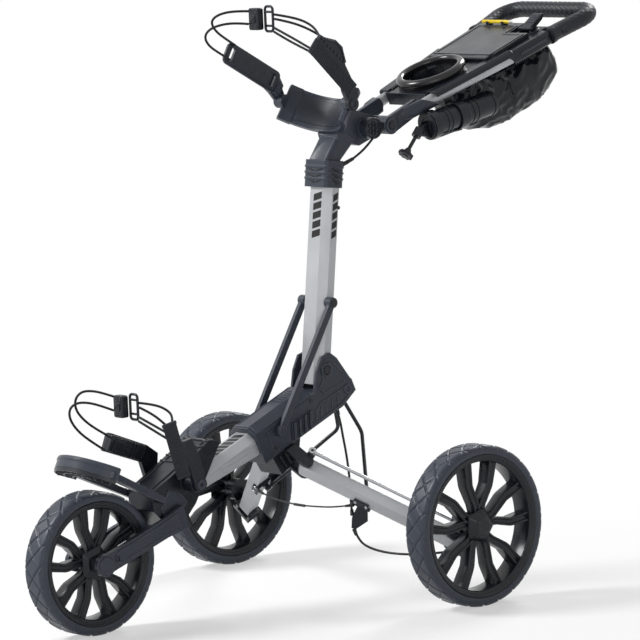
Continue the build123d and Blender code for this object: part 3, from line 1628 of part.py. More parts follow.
buckle(yoke_end + Vector(*upper_buckle_place), "upper_buckle")
buckle(lower_hinge + Vector(*lower_buckle_place), "lower_buckle")


# Cords and cables: straight runs joined by the largest arcs that fit


def strand(origin, route, diameter, name):
    """A tube along a route; prints its bend radii, its length and its volume."""
    points = [origin + Vector(*point) for point in route]
    radii = []
    for before, corner, after in zip(points, points[1:], points[2:]):
        turn = radians((corner - before).get_angle(after - corner))
        shorter = min((corner - before).length, (after - corner).length)
        radii.append(arc_share * shorter / tan(turn / 2))
    with BuildPart() as tube:
        with BuildLine() as path:
            FilletPolyline(*points, radius=radii)
        with BuildSketch(Plane(origin=points[0], z_dir=path.line % 0)):
            Circle(diameter / 2)
        sweep()
    length = sum(edge.length for edge in path.edges())
    share = tube.part.volume / (pi * diameter**2 / 4 * length)
    bends = ", ".join(f"{radius:.0f}" for radius in radii)
    print(f"{name}: length {length:.0f}, bend radii {bends}, volume ratio {share:.4f}")
    return tube.part


def cords(origin, routes, diameter, name):
    """A node of one or more strands, side by side, measured from one place."""
    strands = [strand(origin, route, diameter, name) for route in routes]
    with BuildPart() as bundle:
        for tube in strands:
            add(tube)
    return save(bundle.part, name)


upper_cord_routes = [
    [(-85.4, -113.9, 111.5), (-85.4, -137.9, 125.5), (-83, -161.9, 141.5), (-74, -177.9, 158.5),
     (-60, -173.9, 170.5), (-45, -149.9, 176.5), (-29.2, -123.9, 174.5)],
    [(-85.4, -126.9, 85.5), (-85.4, -153.9, 100.5), (-83, -178.9, 115.5), (-76, -192.9, 132.5),
     (-63, -189.9, 146.5), (-51, -169.9, 153.5), (-40, -145.9, 154.5), (-29.2, -125.9, 151.5)],
    [(25.4, -110.9, 168.5), (43, -85.9, 162.5), (62, -65.9, 152.5), (81, -57.9, 137.5),
     (94.8, -62.9, 122.5)],
    [(25.4, -110.9, 160.5), (43, -87.9, 153.5), (62, -65.9, 141.5), (79, -47.9, 126.5),
     (94.8, -32.9, 109.5)],
    [(25.4, -111.9, 144.5), (48, -105.9, 133.5), (72, -96.9, 120.5), (94.8, -86.9, 106.5)],
    [(25.4, -112.9, 137.5), (46, -103.9, 124.5), (70, -93.9, 111.5), (94.8, -82.9, 98.5)],
]
lower_cord_routes = [
    [(-63.4, -91, 85), (-65, -118, 101), (-67, -145, 121), (-65, -165, 143), (-59, -170, 164),
     (-52, -160, 177), (-46, -139, 176), (-39, -118, 169), (-31.2, -100, 161)],
    [(-63.4, -105, 63), (-65, -135, 83), (-68, -161, 105), (-66, -179, 129), (-60, -182, 149),
     (-53, -170, 158), (-47, -149, 156), (-39, -127, 148), (-31.2, -106, 138)],
    [(23.4, -91, 154), (38, -70, 150), (53, -54, 141), (65, -48, 128), (73.6, -59, 114)],
    [(23.4, -91, 146), (36, -73, 134), (49, -55, 114), (58, -38, 92), (63.4, -25, 70)],
    [(23.4, -93, 129), (48, -87, 119), (73.8, -74, 104)],
    [(23.4, -94, 122), (48, -86, 109), (73.8, -68, 90)],
]
upper_cable_routes = [
    [(49, -40, -19.9), (45, -54, -35.9), (38, -74, -51.9), (33, -94, -63.9)],
]
cords(yoke_end, upper_cord_routes, bungee_diameter, "upper_cords")
cords(lower_hinge, lower_cord_routes, bungee_diameter, "lower_cords")
cords(handle_pivot, upper_cable_routes, cable_diameter, "upper_brake_cable")

under_axle = Vector(0, rear_axle.Y, 0)
lower_cable_routes = [
    [(14, -27, 335), (22, -26, 312), (34, -32, 286), (56, -45, 260), (82, -63, 231), (106, -81, 200),
     (120, -91, 177), (130, -98, 157)],
]
hub_cable_routes = [
    [(134.2, -98.3, 129.1), (144, -97, 110), (166, -92, 98), (200, -84, 92), (236, -74, 91),
     (268, -57, 92), (293, -32, 94), (310.5, -5, 95.5)],
]
cross_cable_routes = [
    [(-134, -98.5, 174.6), (-98, -106, 168), (-50, -112, 164.5), (0, -114, 163), (50, -112, 164.5),
     (98, -106, 168), (134, -98.5, 174.6)],
]
cords(under_axle, lower_cable_routes, cable_diameter, "lower_brake_cable")
cords(under_axle, hub_cable_routes, cable_diameter, "left_hub_cable")
cords(under_axle, cross_cable_routes, cross_cable_diameter, "cross_cable")
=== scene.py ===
"""Looks for a folding three-wheel golf push cart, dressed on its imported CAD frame."""

import json
import logging
import math
from dataclasses import dataclass, field
from enum import Enum
from typing import Callable, Iterable, Sequence

import bmesh
import bpy
from mathutils import Matrix, Quaternion, Vector, noise
from mathutils.bvhtree import BVHTree

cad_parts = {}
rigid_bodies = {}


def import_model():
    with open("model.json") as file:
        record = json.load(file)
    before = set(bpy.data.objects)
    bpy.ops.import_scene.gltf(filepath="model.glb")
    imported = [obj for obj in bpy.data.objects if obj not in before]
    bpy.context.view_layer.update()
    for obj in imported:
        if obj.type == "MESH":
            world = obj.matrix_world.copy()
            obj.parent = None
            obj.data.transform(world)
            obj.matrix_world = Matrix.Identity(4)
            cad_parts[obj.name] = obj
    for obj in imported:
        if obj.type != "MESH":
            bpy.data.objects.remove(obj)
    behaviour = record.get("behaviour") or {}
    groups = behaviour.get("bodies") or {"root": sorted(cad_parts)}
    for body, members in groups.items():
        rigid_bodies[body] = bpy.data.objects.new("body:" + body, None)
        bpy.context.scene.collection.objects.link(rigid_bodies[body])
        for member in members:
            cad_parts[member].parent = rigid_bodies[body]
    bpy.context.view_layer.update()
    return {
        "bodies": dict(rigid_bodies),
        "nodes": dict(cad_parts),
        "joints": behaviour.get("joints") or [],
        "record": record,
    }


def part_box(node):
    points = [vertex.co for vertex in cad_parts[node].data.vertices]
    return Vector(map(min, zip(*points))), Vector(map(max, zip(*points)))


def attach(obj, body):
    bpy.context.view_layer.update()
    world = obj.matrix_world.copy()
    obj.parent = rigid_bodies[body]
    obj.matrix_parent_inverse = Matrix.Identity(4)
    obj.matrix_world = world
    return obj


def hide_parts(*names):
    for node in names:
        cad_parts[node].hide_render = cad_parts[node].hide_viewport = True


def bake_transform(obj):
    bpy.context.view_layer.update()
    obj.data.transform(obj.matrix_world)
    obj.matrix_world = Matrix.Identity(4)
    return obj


LOG = logging.getLogger("push_cart")
MM = 0.001

ACROSS = Vector((1, 0, 0))

BMesh = bmesh.types.BMesh
Item = bpy.types.Object
Node = bpy.types.Node
Socket = bpy.types.NodeSocket
Pair = tuple[float, float]
Triple = tuple[float, float, float]
Vectors = tuple[Vector, Vector]


class Grain(Enum):
    """How the fine surface of a finish is laid out."""

    MOULDED = "moulded"
    BRUSHED = "brushed"
    TWILL = "twill"
    BRAID = "braid"


@dataclass(frozen=True)
class Finish:
    """One finish: its colour, its shine and the fine texture that it shows."""

    name: str
    slot: str
    colour: Triple
    rough: float
    grain: Grain = Grain.MOULDED
    metallic: float = 0
    bump: float = 0.12
    grain_scale: float = 1400
    mottle: float = 0.1
    # Strength of the painted highlight along rounded edges.
    edge_highlight: float = 0.25
    rounding: float = 1
    coat: float = 0


class Finishes:
    """The finishes of the cart, named for what they are on."""

    TYRE = Finish(
        "tyre_rubber", "tyre", (0.042, 0.05, 0.068), 0.38, bump=0.2, grain_scale=900, edge_highlight=0.7, rounding=1.4,
    )
    RIM = Finish("rim_plastic", "rim", (0.008, 0.0095, 0.013), 0.26, bump=0.05, edge_highlight=0.7, rounding=1.8)
    SILVER = Finish(
        "silver_extrusion", "silver", (0.45, 0.46, 0.48), 0.4, Grain.BRUSHED, 0.35, 0.05, 700, 0.04, 0.2, 0.8,
    )
    CHARCOAL = Finish("charcoal_moulding", "charcoal", (0.034, 0.041, 0.057), 0.34, edge_highlight=0.75, rounding=2.4)
    BLACK = Finish("black_moulding", "black", (0.008, 0.0105, 0.016), 0.28, edge_highlight=0.75, rounding=2)
    FITTING = Finish("black_fitting", "black", (0.012, 0.0145, 0.02), 0.34, edge_highlight=0.35, rounding=0.6)
    CONSOLE = Finish("console_lid_sheen", "charcoal", (0.019, 0.0215, 0.028), 0.3, bump=0.05, edge_highlight=0.5, coat=0.2)
    CUP = Finish("cup_ring_gloss", "charcoal", (0.008, 0.008, 0.01), 0.2, bump=0.04, rounding=0.8, coat=0.2)
    STEEL = Finish("plated_steel", "steel", (0.42, 0.425, 0.44), 0.3, Grain.BRUSHED, 1, 0.04, 900, 0.06, 0.1, 0.5)
    DARK_STEEL = Finish("blackened_steel", "steel", (0.03, 0.03, 0.034), 0.32, metallic=0.5, bump=0.05, edge_highlight=0.5)
    GRIP = Finish("grip_sleeve", "grip", (0.015, 0.0165, 0.022), 0.42, bump=0.25, grain_scale=1100, rounding=0.5)
    CORD = Finish("elastic_cord", "cord", (0.009, 0.01, 0.013), 0.55, Grain.BRAID, bump=0.12, grain_scale=800)
    CABLE = Finish("cable_jacket", "black", (0.012, 0.012, 0.014), 0.34, bump=0.05)
    NYLON = Finish(
        "bag_nylon", "nylon", (0.007, 0.0085, 0.0125), 0.24, Grain.TWILL, bump=0.1, grain_scale=1500, rounding=0.3,
    )
    WEBBING = Finish(
        "strap_webbing", "nylon", (0.023, 0.026, 0.034), 0.65, Grain.TWILL, bump=0.5, grain_scale=900, rounding=0.3,
    )
    PAD = Finish("cradle_pad_rubber", "black", (0.026, 0.031, 0.042), 0.38, bump=0.2, edge_highlight=0.6, rounding=1)
    # Near-black print for the stripes, also used as painted shade in the fork's square holes.
    DARK_PRINT_AND_SHADE = Finish("dark_print_and_hole_shade", "black", (0.009, 0.009, 0.01), 0.4, bump=0.02, edge_highlight=0, rounding=0.1)
    PENCIL = Finish("pencil_paint", "silver", (0.85, 0.62, 0.01), 0.4, bump=0.03, edge_highlight=0, rounding=0.3)
    PAPER = Finish("pale_tip", "silver", (0.75, 0.74, 0.7), 0.5, bump=0.03, edge_highlight=0, rounding=0.3)


class Nodes:
    """A node tree, with short ways to add nodes and to join them."""

    def __init__(self, tree: bpy.types.NodeTree) -> None:
        """Keep the tree."""
        self.tree = tree

    def fill(self, node: Node, inputs: dict[str | int, object]) -> None:
        """Set a node's inputs, or join them where a socket is given.

        Args:
            node: the node to fill.
            inputs: values or sockets, by the names or numbers of its inputs.
        """
        for place, value in inputs.items():
            if isinstance(value, Socket):
                self.tree.links.new(value, node.inputs[place])
            else:
                node.inputs[place].default_value = value

    def add(self, kind: str, inputs: dict[str | int, object], **settings: str | int) -> Node:
        """Add a node.

        Args:
            kind: its type, without the first part of the name that all share.
            inputs: values or sockets for its inputs.
            settings: its other properties.

        Returns:
            The new node.
        """
        node = self.tree.nodes.new(f"ShaderNode{kind}")
        for name, value in settings.items():
            setattr(node, name, value)
        self.fill(node, inputs)
        return node

    def coords(self) -> Socket:
        """The Object coordinates."""
        return self.add("TexCoord", {}).outputs["Object"]

    def noise(self, scale: float, detail: float) -> Socket:
        """A noise texture on Object coordinates."""
        return self.add("TexNoise", {"Scale": scale, "Detail": detail, "Vector": self.coords()}).outputs["Fac"]

    def mapping(self, **inputs: Sequence[float]) -> Socket:
        """Object coordinates that are turned or scaled."""
        return self.add("Mapping", {"Vector": self.coords(), **inputs}).outputs["Vector"]

    def range(self, value: Socket, source: Pair, target: Pair, **settings: str) -> Socket:
        """A value mapped from one range to another."""
        limits = zip(("From Min", "From Max", "To Min", "To Max"), (*source, *target))
        return self.add("MapRange", {"Value": value, **dict(limits)}, **settings).outputs["Result"]

    def math(self, operation: str, first: Socket, second: Socket) -> Socket:
        """Two values put together."""
        return self.add("Math", {0: first, 1: second}, operation=operation).outputs["Value"]

    def mixed(self, end: str, share: Socket, first: Node, second: Node) -> None:
        """Show a mix of two shaders at the end of the tree."""
        mix = self.add("MixShader", {"Fac": share, 1: first.outputs[0], 2: second.outputs[0]})
        self.fill(self.tree.nodes[end], {"Surface": mix.outputs["Shader"]})


@dataclass
class MaterialShop:
    """Makes one procedural material for each finish, on first use."""

    made: dict[str, bpy.types.Material] = field(default_factory=dict)
    bump_height: float = 0.4
    specular: float = 0.3
    coat_rough: float = 0.2
    shine_scale: float = 23
    shine_span: float = 0.07
    tone_scale: float = 14
    patches: Pair = (0.3, 0.7)
    edge_match: Pair = (0.98, 0.7)

    def get(self, finish: Finish) -> bpy.types.Material:
        """The material of a finish, made where it is new.

        Args:
            finish: the finish to make or find.

        Returns:
            Its Blender material.
        """
        if finish.name not in self.made:
            self.made[finish.name] = self._make(finish)
        return self.made[finish.name]

    def _make(self, finish: Finish) -> bpy.types.Material:
        """Build the node tree of a finish.

        Args:
            finish: the finish to build.

        Returns:
            A new material.
        """
        material = bpy.data.materials.new(finish.name)
        material.use_nodes = True
        nodes = Nodes(material.node_tree)
        edge = nodes.add("Bevel", {"Radius": finish.rounding * MM}, samples=4).outputs["Normal"]
        relief = {"Strength": finish.bump, "Distance": self.bump_height * MM, "Normal": edge}
        bump = nodes.add("Bump", {"Height": self._height(nodes, finish), **relief})
        span = (finish.rough - self.shine_span, finish.rough + self.shine_span)
        looks = {
            "Base Color": self._tone_and_edge_highlight(nodes, edge, finish),
            "Roughness": nodes.range(nodes.noise(self.shine_scale, 4), self.patches, span),
            "Normal": bump.outputs["Normal"],
            "Metallic": finish.metallic,
            "Specular IOR Level": self.specular,
            "Coat Weight": finish.coat,
            "Coat Roughness": self.coat_rough,
        }
        nodes.fill(nodes.tree.nodes["Principled BSDF"], looks)
        material.diffuse_color = (*finish.colour, 1)
        return material

    def _height(self, nodes: Nodes, finish: Finish) -> Socket:
        """The height pattern that suits the finish's grain.

        Args:
            nodes: the material's nodes.
            finish: the finish, with its grain and scale.

        Returns:
            The socket with the height.
        """
        if finish.grain in (Grain.TWILL, Grain.BRAID):
            lean = math.radians(45)
            bands = []
            for turn in ((lean, 0.3, lean), (-lean, -0.3, -lean)):
                inputs = {"Scale": finish.grain_scale / 6, "Distortion": 0.4, "Vector": nodes.mapping(Rotation=turn)}
                bands.append(nodes.add("TexWave", inputs).outputs["Fac"])
            return nodes.math("MULTIPLY", *bands)
        if finish.grain is Grain.BRUSHED:
            drawn = nodes.mapping(Scale=(1, 0.08, 0.03))
            return nodes.add("TexNoise", {"Scale": finish.grain_scale, "Vector": drawn}).outputs["Fac"]
        return nodes.noise(finish.grain_scale, 5)

    def _tone_and_edge_highlight(self, nodes: Nodes, edge: Socket, finish: Finish) -> Socket:
        """The colour, varied gently at random, with a painted highlight that lightens it along rounded edges.

        Args:
            nodes: the material's nodes.
            edge: the softened normal.
            finish: the finish, with how strong the painted highlight on its edges is.

        Returns:
            The socket with the final colour.
        """
        span = (1 - finish.mottle, 1 + finish.mottle)
        level = nodes.range(nodes.noise(self.tone_scale, 6), self.patches, span)
        tone = nodes.add("VectorMath", {0: finish.colour, "Scale": level}, operation="SCALE").outputs["Vector"]
        flat = nodes.add("NewGeometry", {}).outputs["Normal"]
        match = nodes.add("VectorMath", {0: edge, 1: flat}, operation="DOT_PRODUCT").outputs["Value"]
        # Painted highlight: where the softened edge normal turns from the flat one, the colour is lifted towards
        # three times itself, in place of lamp light on the edge.
        share = nodes.range(match, self.edge_match, (0, finish.edge_highlight))
        light = [min(1, channel * 3 + 0.05) for channel in finish.colour]
        return nodes.add("Mix", {7: (*light, 1), 0: share, 6: tone}, data_type="RGBA").outputs[2]


@dataclass
class Plan:
    """Places and directions of the cart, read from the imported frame."""

    joints: dict[str, dict]
    spine_angle: float = 23
    spine_behind: float = -300
    spine_height: float = 271
    mast_lean: float = 7
    handle_rise: float = 20.5
    bag_lean: float = 33
    bag_middle: Pair = (-78.1, 927.1)
    rest_tilt: float = 26
    umbrella_rise: float = 11
    knob_dip: float = 49.5

    @classmethod
    def from_frame(cls, frame: dict) -> "Plan":
        """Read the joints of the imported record."""
        return cls({joint["name"]: joint for joint in frame["joints"]})

    def pivot(self, joint: str) -> Vector:
        """Where a joint turns, in metres."""
        return Vector(self.joints[joint]["pos_m"])

    def place(self, x: float, behind: float, height: float) -> Vector:
        """A point by millimetres across, behind the rear axle and above the ground."""
        axle = self.pivot("left_wheel_spin")
        return Vector((x * MM, axle.y + behind * MM, height * MM))

    def _slope(self, degrees: float, facing: int = 1) -> Vectors:
        """Onward and upward directions of a line that rises to the rear, or to the front where facing is -1.

        Args:
            degrees: how steeply it rises.
            facing: 1 for a line that rises to the rear, -1 for one that rises to the front.

        Returns:
            Both directions, each of length 1.
        """
        angle = math.radians(degrees)
        back = Vector((0, facing * math.cos(angle), math.sin(angle)))
        return back, Vector((0, -facing * back.z, facing * back.y))

    def _along(self, origin: Vector, slope: Vectors, along: float, up: float, x: float = 0) -> Vector:
        """A point from an origin, by millimetres along a slope, square to it and across."""
        return origin + (slope[0] * along + slope[1] * up + Vector((x, 0, 0))) * MM

    def spine(self, along: float, up: float, x: float = 0) -> Vector:
        """A point along the front tube's line, square to it and across."""
        origin = self.place(x, self.spine_behind, self.spine_height)
        return self._along(origin, self._slope(self.spine_angle), along, up)

    def mast(self, along: float, behind: float, x: float = 0) -> Vector:
        """A point along the mast from its pivot, behind its middle and across."""
        return self._along(self.pivot("mast_fold"), self._slope(-self.mast_lean), behind, along, x)

    def handle(self, along: float, up: float, x: float = 0) -> Vector:
        """A point along the handle from its pivot, square to it and across."""
        return self._along(self.pivot("handle_fold"), self._slope(self.handle_rise), along, up, x)

    def rest(self, along: float, up: float, x: float = 0) -> Vector:
        """A point on the bag rest, along it from its root, above it and across."""
        return self._along(self.place(x, -470, 228), self._slope(self.rest_tilt, -1), along, up)

    def arm(self, tilt: float, along: float, up: float, x: float) -> Vector:
        """A point on an upper cradle arm, along it from its hinge, above it and across the cart."""
        hinge = self.pivot("upper_right_arm_turn")
        return self._along(Vector((x * MM, hinge.y, hinge.z)), self._slope(tilt, -1), along, up)

    def lower(self, along: float, up: float, x: float) -> Vector:
        """A point beside a lower cradle arm, behind and above its hinge, and across the cart."""
        hinge = self.pivot("lower_right_arm_turn")
        return Vector((x * MM, hinge.y + along * MM, hinge.z + up * MM))

    def umbrella(self, along: float, up: float = 0, x: float = 0) -> Vector:
        """A point along the umbrella tube from its front, above its middle and beside it."""
        front = self.pivot("handle_fold") + Vector((76, 75, -6)) * MM
        return self._along(front, self._slope(self.umbrella_rise), along, up, x)

    def bag(self, behind: float, along: float, x: float) -> Vector:
        """A point behind the golf bag's axis, along it from the yoke's middle and across."""
        return self._along(self.place(0, *self.bag_middle), self._slope(-self.bag_lean), behind, along, x)

    def handle_up(self) -> Vector:
        """The direction square to the handle's top."""
        return self._slope(self.handle_rise)[1]

    def spine_up(self) -> Vector:
        """The direction square to the front tube's top."""
        return self._slope(self.spine_angle)[1]

    def mast_front(self) -> Vector:
        """The direction that the mast's flat looks in."""
        return (self.mast(0, -1) - self.mast(0, 0)).normalized()

    def leg(self, along: float, across: float, up: float, hand: int = 1) -> Vector:
        """A point in a rear leg's own directions, from its inner pivot; hand is -1 on the right.

        Args:
            along: millimetres out along the leg.
            across: millimetres square to it.
            up: millimetres along its fold's axis, upwards.
            hand: 1 for the left leg, -1 for the right.

        Returns:
            The point, in metres.
        """
        inner = self.pivot("left_leg_fold")
        line = (self.pivot("left_carrier_turn") - inner).normalized()
        rise = -Vector(self.joints["left_leg_fold"]["axis"])
        side = rise.cross(line)
        point = inner + (line * along + side * across + rise * up) * MM
        return Vector((point.x * hand, point.y, point.z))


class Form:
    """A shape that grows by small closed parts, in metres in the cart's frame."""

    def __init__(self) -> None:
        """Start with nothing in it."""
        self.mesh = bmesh.new()

    def join(self, part: BMesh) -> None:
        """Take in a finished part and free it.

        Args:
            part: the part to take in.
        """
        mesh = bpy.data.meshes.new("part")
        part.to_mesh(mesh)
        part.free()
        self.mesh.from_mesh(mesh)
        bpy.data.meshes.remove(mesh)

    def into(self, name: str) -> bpy.types.Mesh:
        """Give the shape as mesh data and free it.

        Args:
            name: the mesh's name.

        Returns:
            The new mesh.
        """
        mesh = bpy.data.meshes.new(name)
        self.mesh.to_mesh(mesh)
        self.mesh.free()
        return mesh

    def ease(self, angle: float, width: float, segments: int) -> None:
        """Round the edges that turn by more than an angle in radians."""
        Form.soften(self.mesh, [edge for edge in self.mesh.edges if edge.calc_face_angle(0) > angle], width, segments)

    @staticmethod
    def soften(part: BMesh, edges: Iterable[bmesh.types.BMEdge], width: float, segments: int) -> None:
        """Round edges by a width in millimetres."""
        style = {"profile": 0.5, "affect": "EDGES", "clamp_overlap": True}
        bmesh.ops.bevel(part, geom=list(edges), offset=width * MM, segments=segments, material=-1, **style)

    @staticmethod
    def pushed(outline: Sequence[Vector], depth: Vector) -> BMesh:
        """A plate: a flat outline pushed along a direction.

        Args:
            outline: corners of the flat face, in order.
            depth: how far and which way it is pushed.

        Returns:
            A new part.
        """
        part = bmesh.new()
        face = part.faces.new([part.verts.new(point) for point in outline])
        moved = bmesh.ops.extrude_face_region(part, geom=[face])["geom"]
        bmesh.ops.translate(part, verts=[item for item in moved if isinstance(item, bmesh.types.BMVert)], vec=depth)
        bmesh.ops.recalc_face_normals(part, faces=part.faces[:])
        return part

    def slab(
        self, outline: Sequence[Vector], depth: Vector, bevel: float = 0, segments: int = 2, corner: float = 0,
    ) -> None:
        """Add a plate with soft edges.

        Args:
            outline: corners of the flat face, in order.
            depth: how far and which way the face is pushed.
            bevel: rounding of the rims in millimetres.
            segments: steps in the rims' rounding.
            corner: rounding of the corners between the rims, or the same where it is 0.
        """
        part = Form.pushed(outline, depth)
        way = depth.normalized()
        if corner or bevel:
            runs = {edge: (edge.verts[1].co - edge.verts[0].co).normalized() for edge in part.edges}
            uprights = [edge for edge, run in runs.items() if abs(run.dot(way)) > 0.99]
            Form.soften(part, uprights, corner or bevel, 6 if corner else segments)
        if bevel:
            part.normal_update()
            caps = [face for face in part.faces if abs(face.normal.dot(way)) > 0.99]
            Form.soften(part, {edge for face in caps for edge in face.edges}, bevel, segments)
        self.join(part)

    @staticmethod
    def sunk(part: BMesh, way: Vector, insets: Pair, sink: float) -> None:
        """Step a part's top face in twice and sink what is left of it, all in millimetres.

        Args:
            part: the part to change.
            way: which way its top looks.
            insets: widths of the two steps in millimetres.
            sink: how far the rest goes down, in millimetres.
        """
        top = max(part.faces, key=lambda face: face.calc_center_median().dot(way))
        for inset in insets:
            bmesh.ops.inset_individual(part, faces=[top], thickness=inset * MM)
        bmesh.ops.translate(part, verts=top.verts[:], vec=-way * sink * MM)

    def panel(self, outline: Sequence[Vector], depth: Vector, rim: float, sink: float) -> None:
        """Add a moulded panel: a plate with a raised rim round a sunk middle.

        Args:
            outline: corners of the flat face, in order.
            depth: how far and which way the rim stands.
            rim: width of the rim in millimetres.
            sink: how far the middle lies below the rim, in millimetres.
        """
        part = Form.pushed(outline, depth)
        Form.sunk(part, depth.normalized(), (rim, 0.4 * sink), sink)
        self.join(part)

    def bar(self, start: Vector, end: Vector, normal: Vector, width: float, height: float) -> None:
        """Add a straight raised bar on a surface.

        Args:
            start: middle of one end, on the surface.
            end: middle of the other end.
            normal: which way the bar stands.
            width: its width in millimetres.
            height: its height in millimetres.
        """
        side = normal.cross(end - start).normalized() * width / 2 * MM
        outline = [start - side, end - side, end + side, start + side]
        self.slab(outline, normal.normalized() * height * MM, min(width, height) * 0.3, 2)

    def rib(
        self, line: Callable[..., Vector], first: Sequence[float], last: Sequence[float], normal: Vector,
        width: float, height: float,
    ) -> None:
        """Add a bar between two stations of a line that gives the point of each."""
        self.bar(line(*first), line(*last), normal, width, height)

    @staticmethod
    def cone(start: Vector, end: Vector, radius: float, tip: float, segments: int) -> BMesh:
        """A cone with closed ends between two points, by its radii in millimetres and its sides.

        Args:
            start: middle of one end.
            end: middle of the other end.
            radius: radius at the start, in millimetres.
            tip: radius at the end.
            segments: its sides.

        Returns:
            A new part.
        """
        line = end - start
        turn = Vector((0, 0, 1)).rotation_difference(line).to_matrix().to_4x4()
        part = bmesh.new()
        bmesh.ops.create_cone(
            part, cap_ends=True, segments=segments, radius1=radius * MM, radius2=tip * MM, depth=line.length,
            matrix=Matrix.Translation((start + end) / 2) @ turn,
        )
        return part

    def rod(
        self, start: Vector, end: Vector, radius: float, tip: float | None = None, segments: int = 24,
        bevel: float = 0,
    ) -> None:
        """Add a round rod or cone between two points.

        Args:
            start: middle of one end.
            end: middle of the other end.
            radius: radius at the start, in millimetres.
            tip: radius at the end, or None for the same.
            segments: sides of the rod.
            bevel: rounding of its rims in millimetres.
        """
        part = Form.cone(start, end, radius, radius if tip is None else tip, segments)
        if bevel:
            caps = [face for face in part.faces if len(face.verts) > 4]
            Form.soften(part, {edge for face in caps for edge in face.edges}, bevel, 3)
        self.join(part)

    def screw(self, seat: Vector, normal: Vector, radius: float, height: float) -> None:
        """Add a screw head with a round socket, seated on a surface.

        Args:
            seat: middle of the head, on the surface.
            normal: which way the head looks.
            radius: head radius in millimetres.
            height: head height in millimetres.
        """
        way = normal.normalized()
        part = Form.cone(seat, seat + way * height * MM, radius, radius * 0.86, 18)
        Form.sunk(part, way, (radius * 0.42, radius * 0.04), height * 0.6)
        self.join(part)

    def turned(self, profile: Sequence[Vector], centre: Vector, axis: Vector, steps: int) -> None:
        """Add a full turn of a closed profile about an axis.

        Args:
            profile: corners of the section, in order.
            centre: a point on the axis.
            axis: the axis direction.
            steps: steps in the full turn.
        """
        part = bmesh.new()
        ring = [part.verts.new(point) for point in profile]
        edges = [part.edges.new((ring[index - 1], ring[index])) for index in range(len(ring))]
        bmesh.ops.spin(part, geom=ring + edges, cent=centre, axis=axis, angle=math.tau, steps=steps, use_merge=True)
        bmesh.ops.remove_doubles(part, verts=part.verts[:], dist=1e-7)
        bmesh.ops.recalc_face_normals(part, faces=part.faces[:])
        self.join(part)

    def washer(
        self, seat: Vector, normal: Vector, inner: float, outer: float, height: float, steps: int = 32,
    ) -> None:
        """Add a ring with a soft top, seated on a surface.

        Args:
            seat: middle of the ring, on the surface.
            normal: which way its top looks.
            inner: bore radius in millimetres.
            outer: outer radius in millimetres.
            height: its height in millimetres.
            steps: steps in its full turn, 6 for a six-sided ring.
        """
        way = normal.normalized()
        out = way.orthogonal().normalized()
        soft = min(height, outer - inner) * 0.3
        top = [(outer, height - soft), (outer - soft, height), (inner + soft, height), (inner, height - soft)]
        profile = [seat + (out * reach + way * rise) * MM for reach, rise in [(inner, 0), (outer, 0), *top]]
        self.turned(profile, seat, way, steps)

    def arc(self, profile: Sequence[Vector], centre: Vector, axis: Vector, angle: float, steps: int) -> None:
        """Add part of a turn of a closed profile, with closed ends, by the right-hand rule.

        Args:
            profile: corners of the section at the start of the turn, in order.
            centre: a point on the axis.
            axis: the axis direction.
            angle: how far it turns, in degrees.
            steps: steps in the turn.
        """
        part = bmesh.new()
        face = part.faces.new([part.verts.new(point) for point in profile])
        geom = [face, *face.edges, *face.verts]
        bmesh.ops.spin(part, geom=geom, cent=centre, axis=axis, angle=math.radians(angle), steps=steps)
        bmesh.ops.recalc_face_normals(part, faces=part.faces[:])
        self.join(part)

    def loft(self, rings: Sequence[Sequence[Vector]], closed: bool = False) -> None:
        """Add a skin over rings of points, with closed ends or joined to itself.

        Args:
            rings: rings with the same number of points, in order.
            closed: whether the last ring joins the first.
        """
        part = bmesh.new()
        loops = []
        for ring in rings:
            verts = [part.verts.new(point) for point in ring]
            loops.append([part.edges.new((verts[index - 1], verts[index])) for index in range(len(verts))])
        for first, second in zip(loops, loops[1:] + loops[:1] if closed else loops[1:]):
            bmesh.ops.bridge_loops(part, edges=first + second)
        if not closed:
            bmesh.ops.holes_fill(part, edges=loops[0] + loops[-1], sides=0)
        bmesh.ops.recalc_face_normals(part, faces=part.faces[:])
        self.join(part)

    @staticmethod
    def rounded(points: Sequence[Vector], radius: float, step: float) -> list[Vector]:
        """Walk along straight runs whose corners are rounded.

        Args:
            points: the corners, with the two ends.
            radius: corner radius in millimetres.
            step: the longest step of the walk in millimetres.

        Returns:
            Points along the walk.
        """
        walk = [points[0]]
        for before, corner, after in zip(points, points[1:], points[2:]):
            first = (before - corner).normalized()
            second = (after - corner).normalized()
            half = first.angle(second) / 2
            centre = corner + (first + second).normalized() * radius * MM / math.sin(half)
            spoke = corner + first * radius * MM / math.tan(half) - centre
            sweep = spoke.rotation_difference(corner + second * radius * MM / math.tan(half) - centre)
            steps = max(2, round(radius * (math.pi - 2 * half) / step))
            walk += [centre + Quaternion().slerp(sweep, index / steps) @ spoke for index in range(steps + 1)]
        walk.append(points[-1])
        path = [walk[0]]
        for start, end in zip(walk, walk[1:]):
            pieces = max(1, math.ceil((end - start).length / (step * MM) - 1e-6))
            path += [start.lerp(end, (index + 1) / pieces) for index in range(pieces)]
        return path

    @staticmethod
    def tube_rings(path: Sequence[Vector], radius: float, sides: int, closed: bool = False) -> list[list[Vector]]:
        """Rings square to a path, without twist.

        Args:
            path: points along the middle.
            radius: ring radius in millimetres.
            sides: points in each ring.
            closed: whether the path's ends meet.

        Returns:
            The rings, in order.
        """
        count = len(path)
        rings = []
        out = None
        for index, point in enumerate(path):
            before = path[index - 1] if closed or index else point
            after = path[(index + 1) % count] if closed or index + 1 < count else point
            way = (after - before).normalized()
            out = (way.orthogonal() if out is None else out - way * out.dot(way)).normalized()
            side = way.cross(out)
            turns = [math.tau * step / sides for step in range(sides)]
            rings.append([point + (out * math.cos(turn) + side * math.sin(turn)) * radius * MM for turn in turns])
        return rings

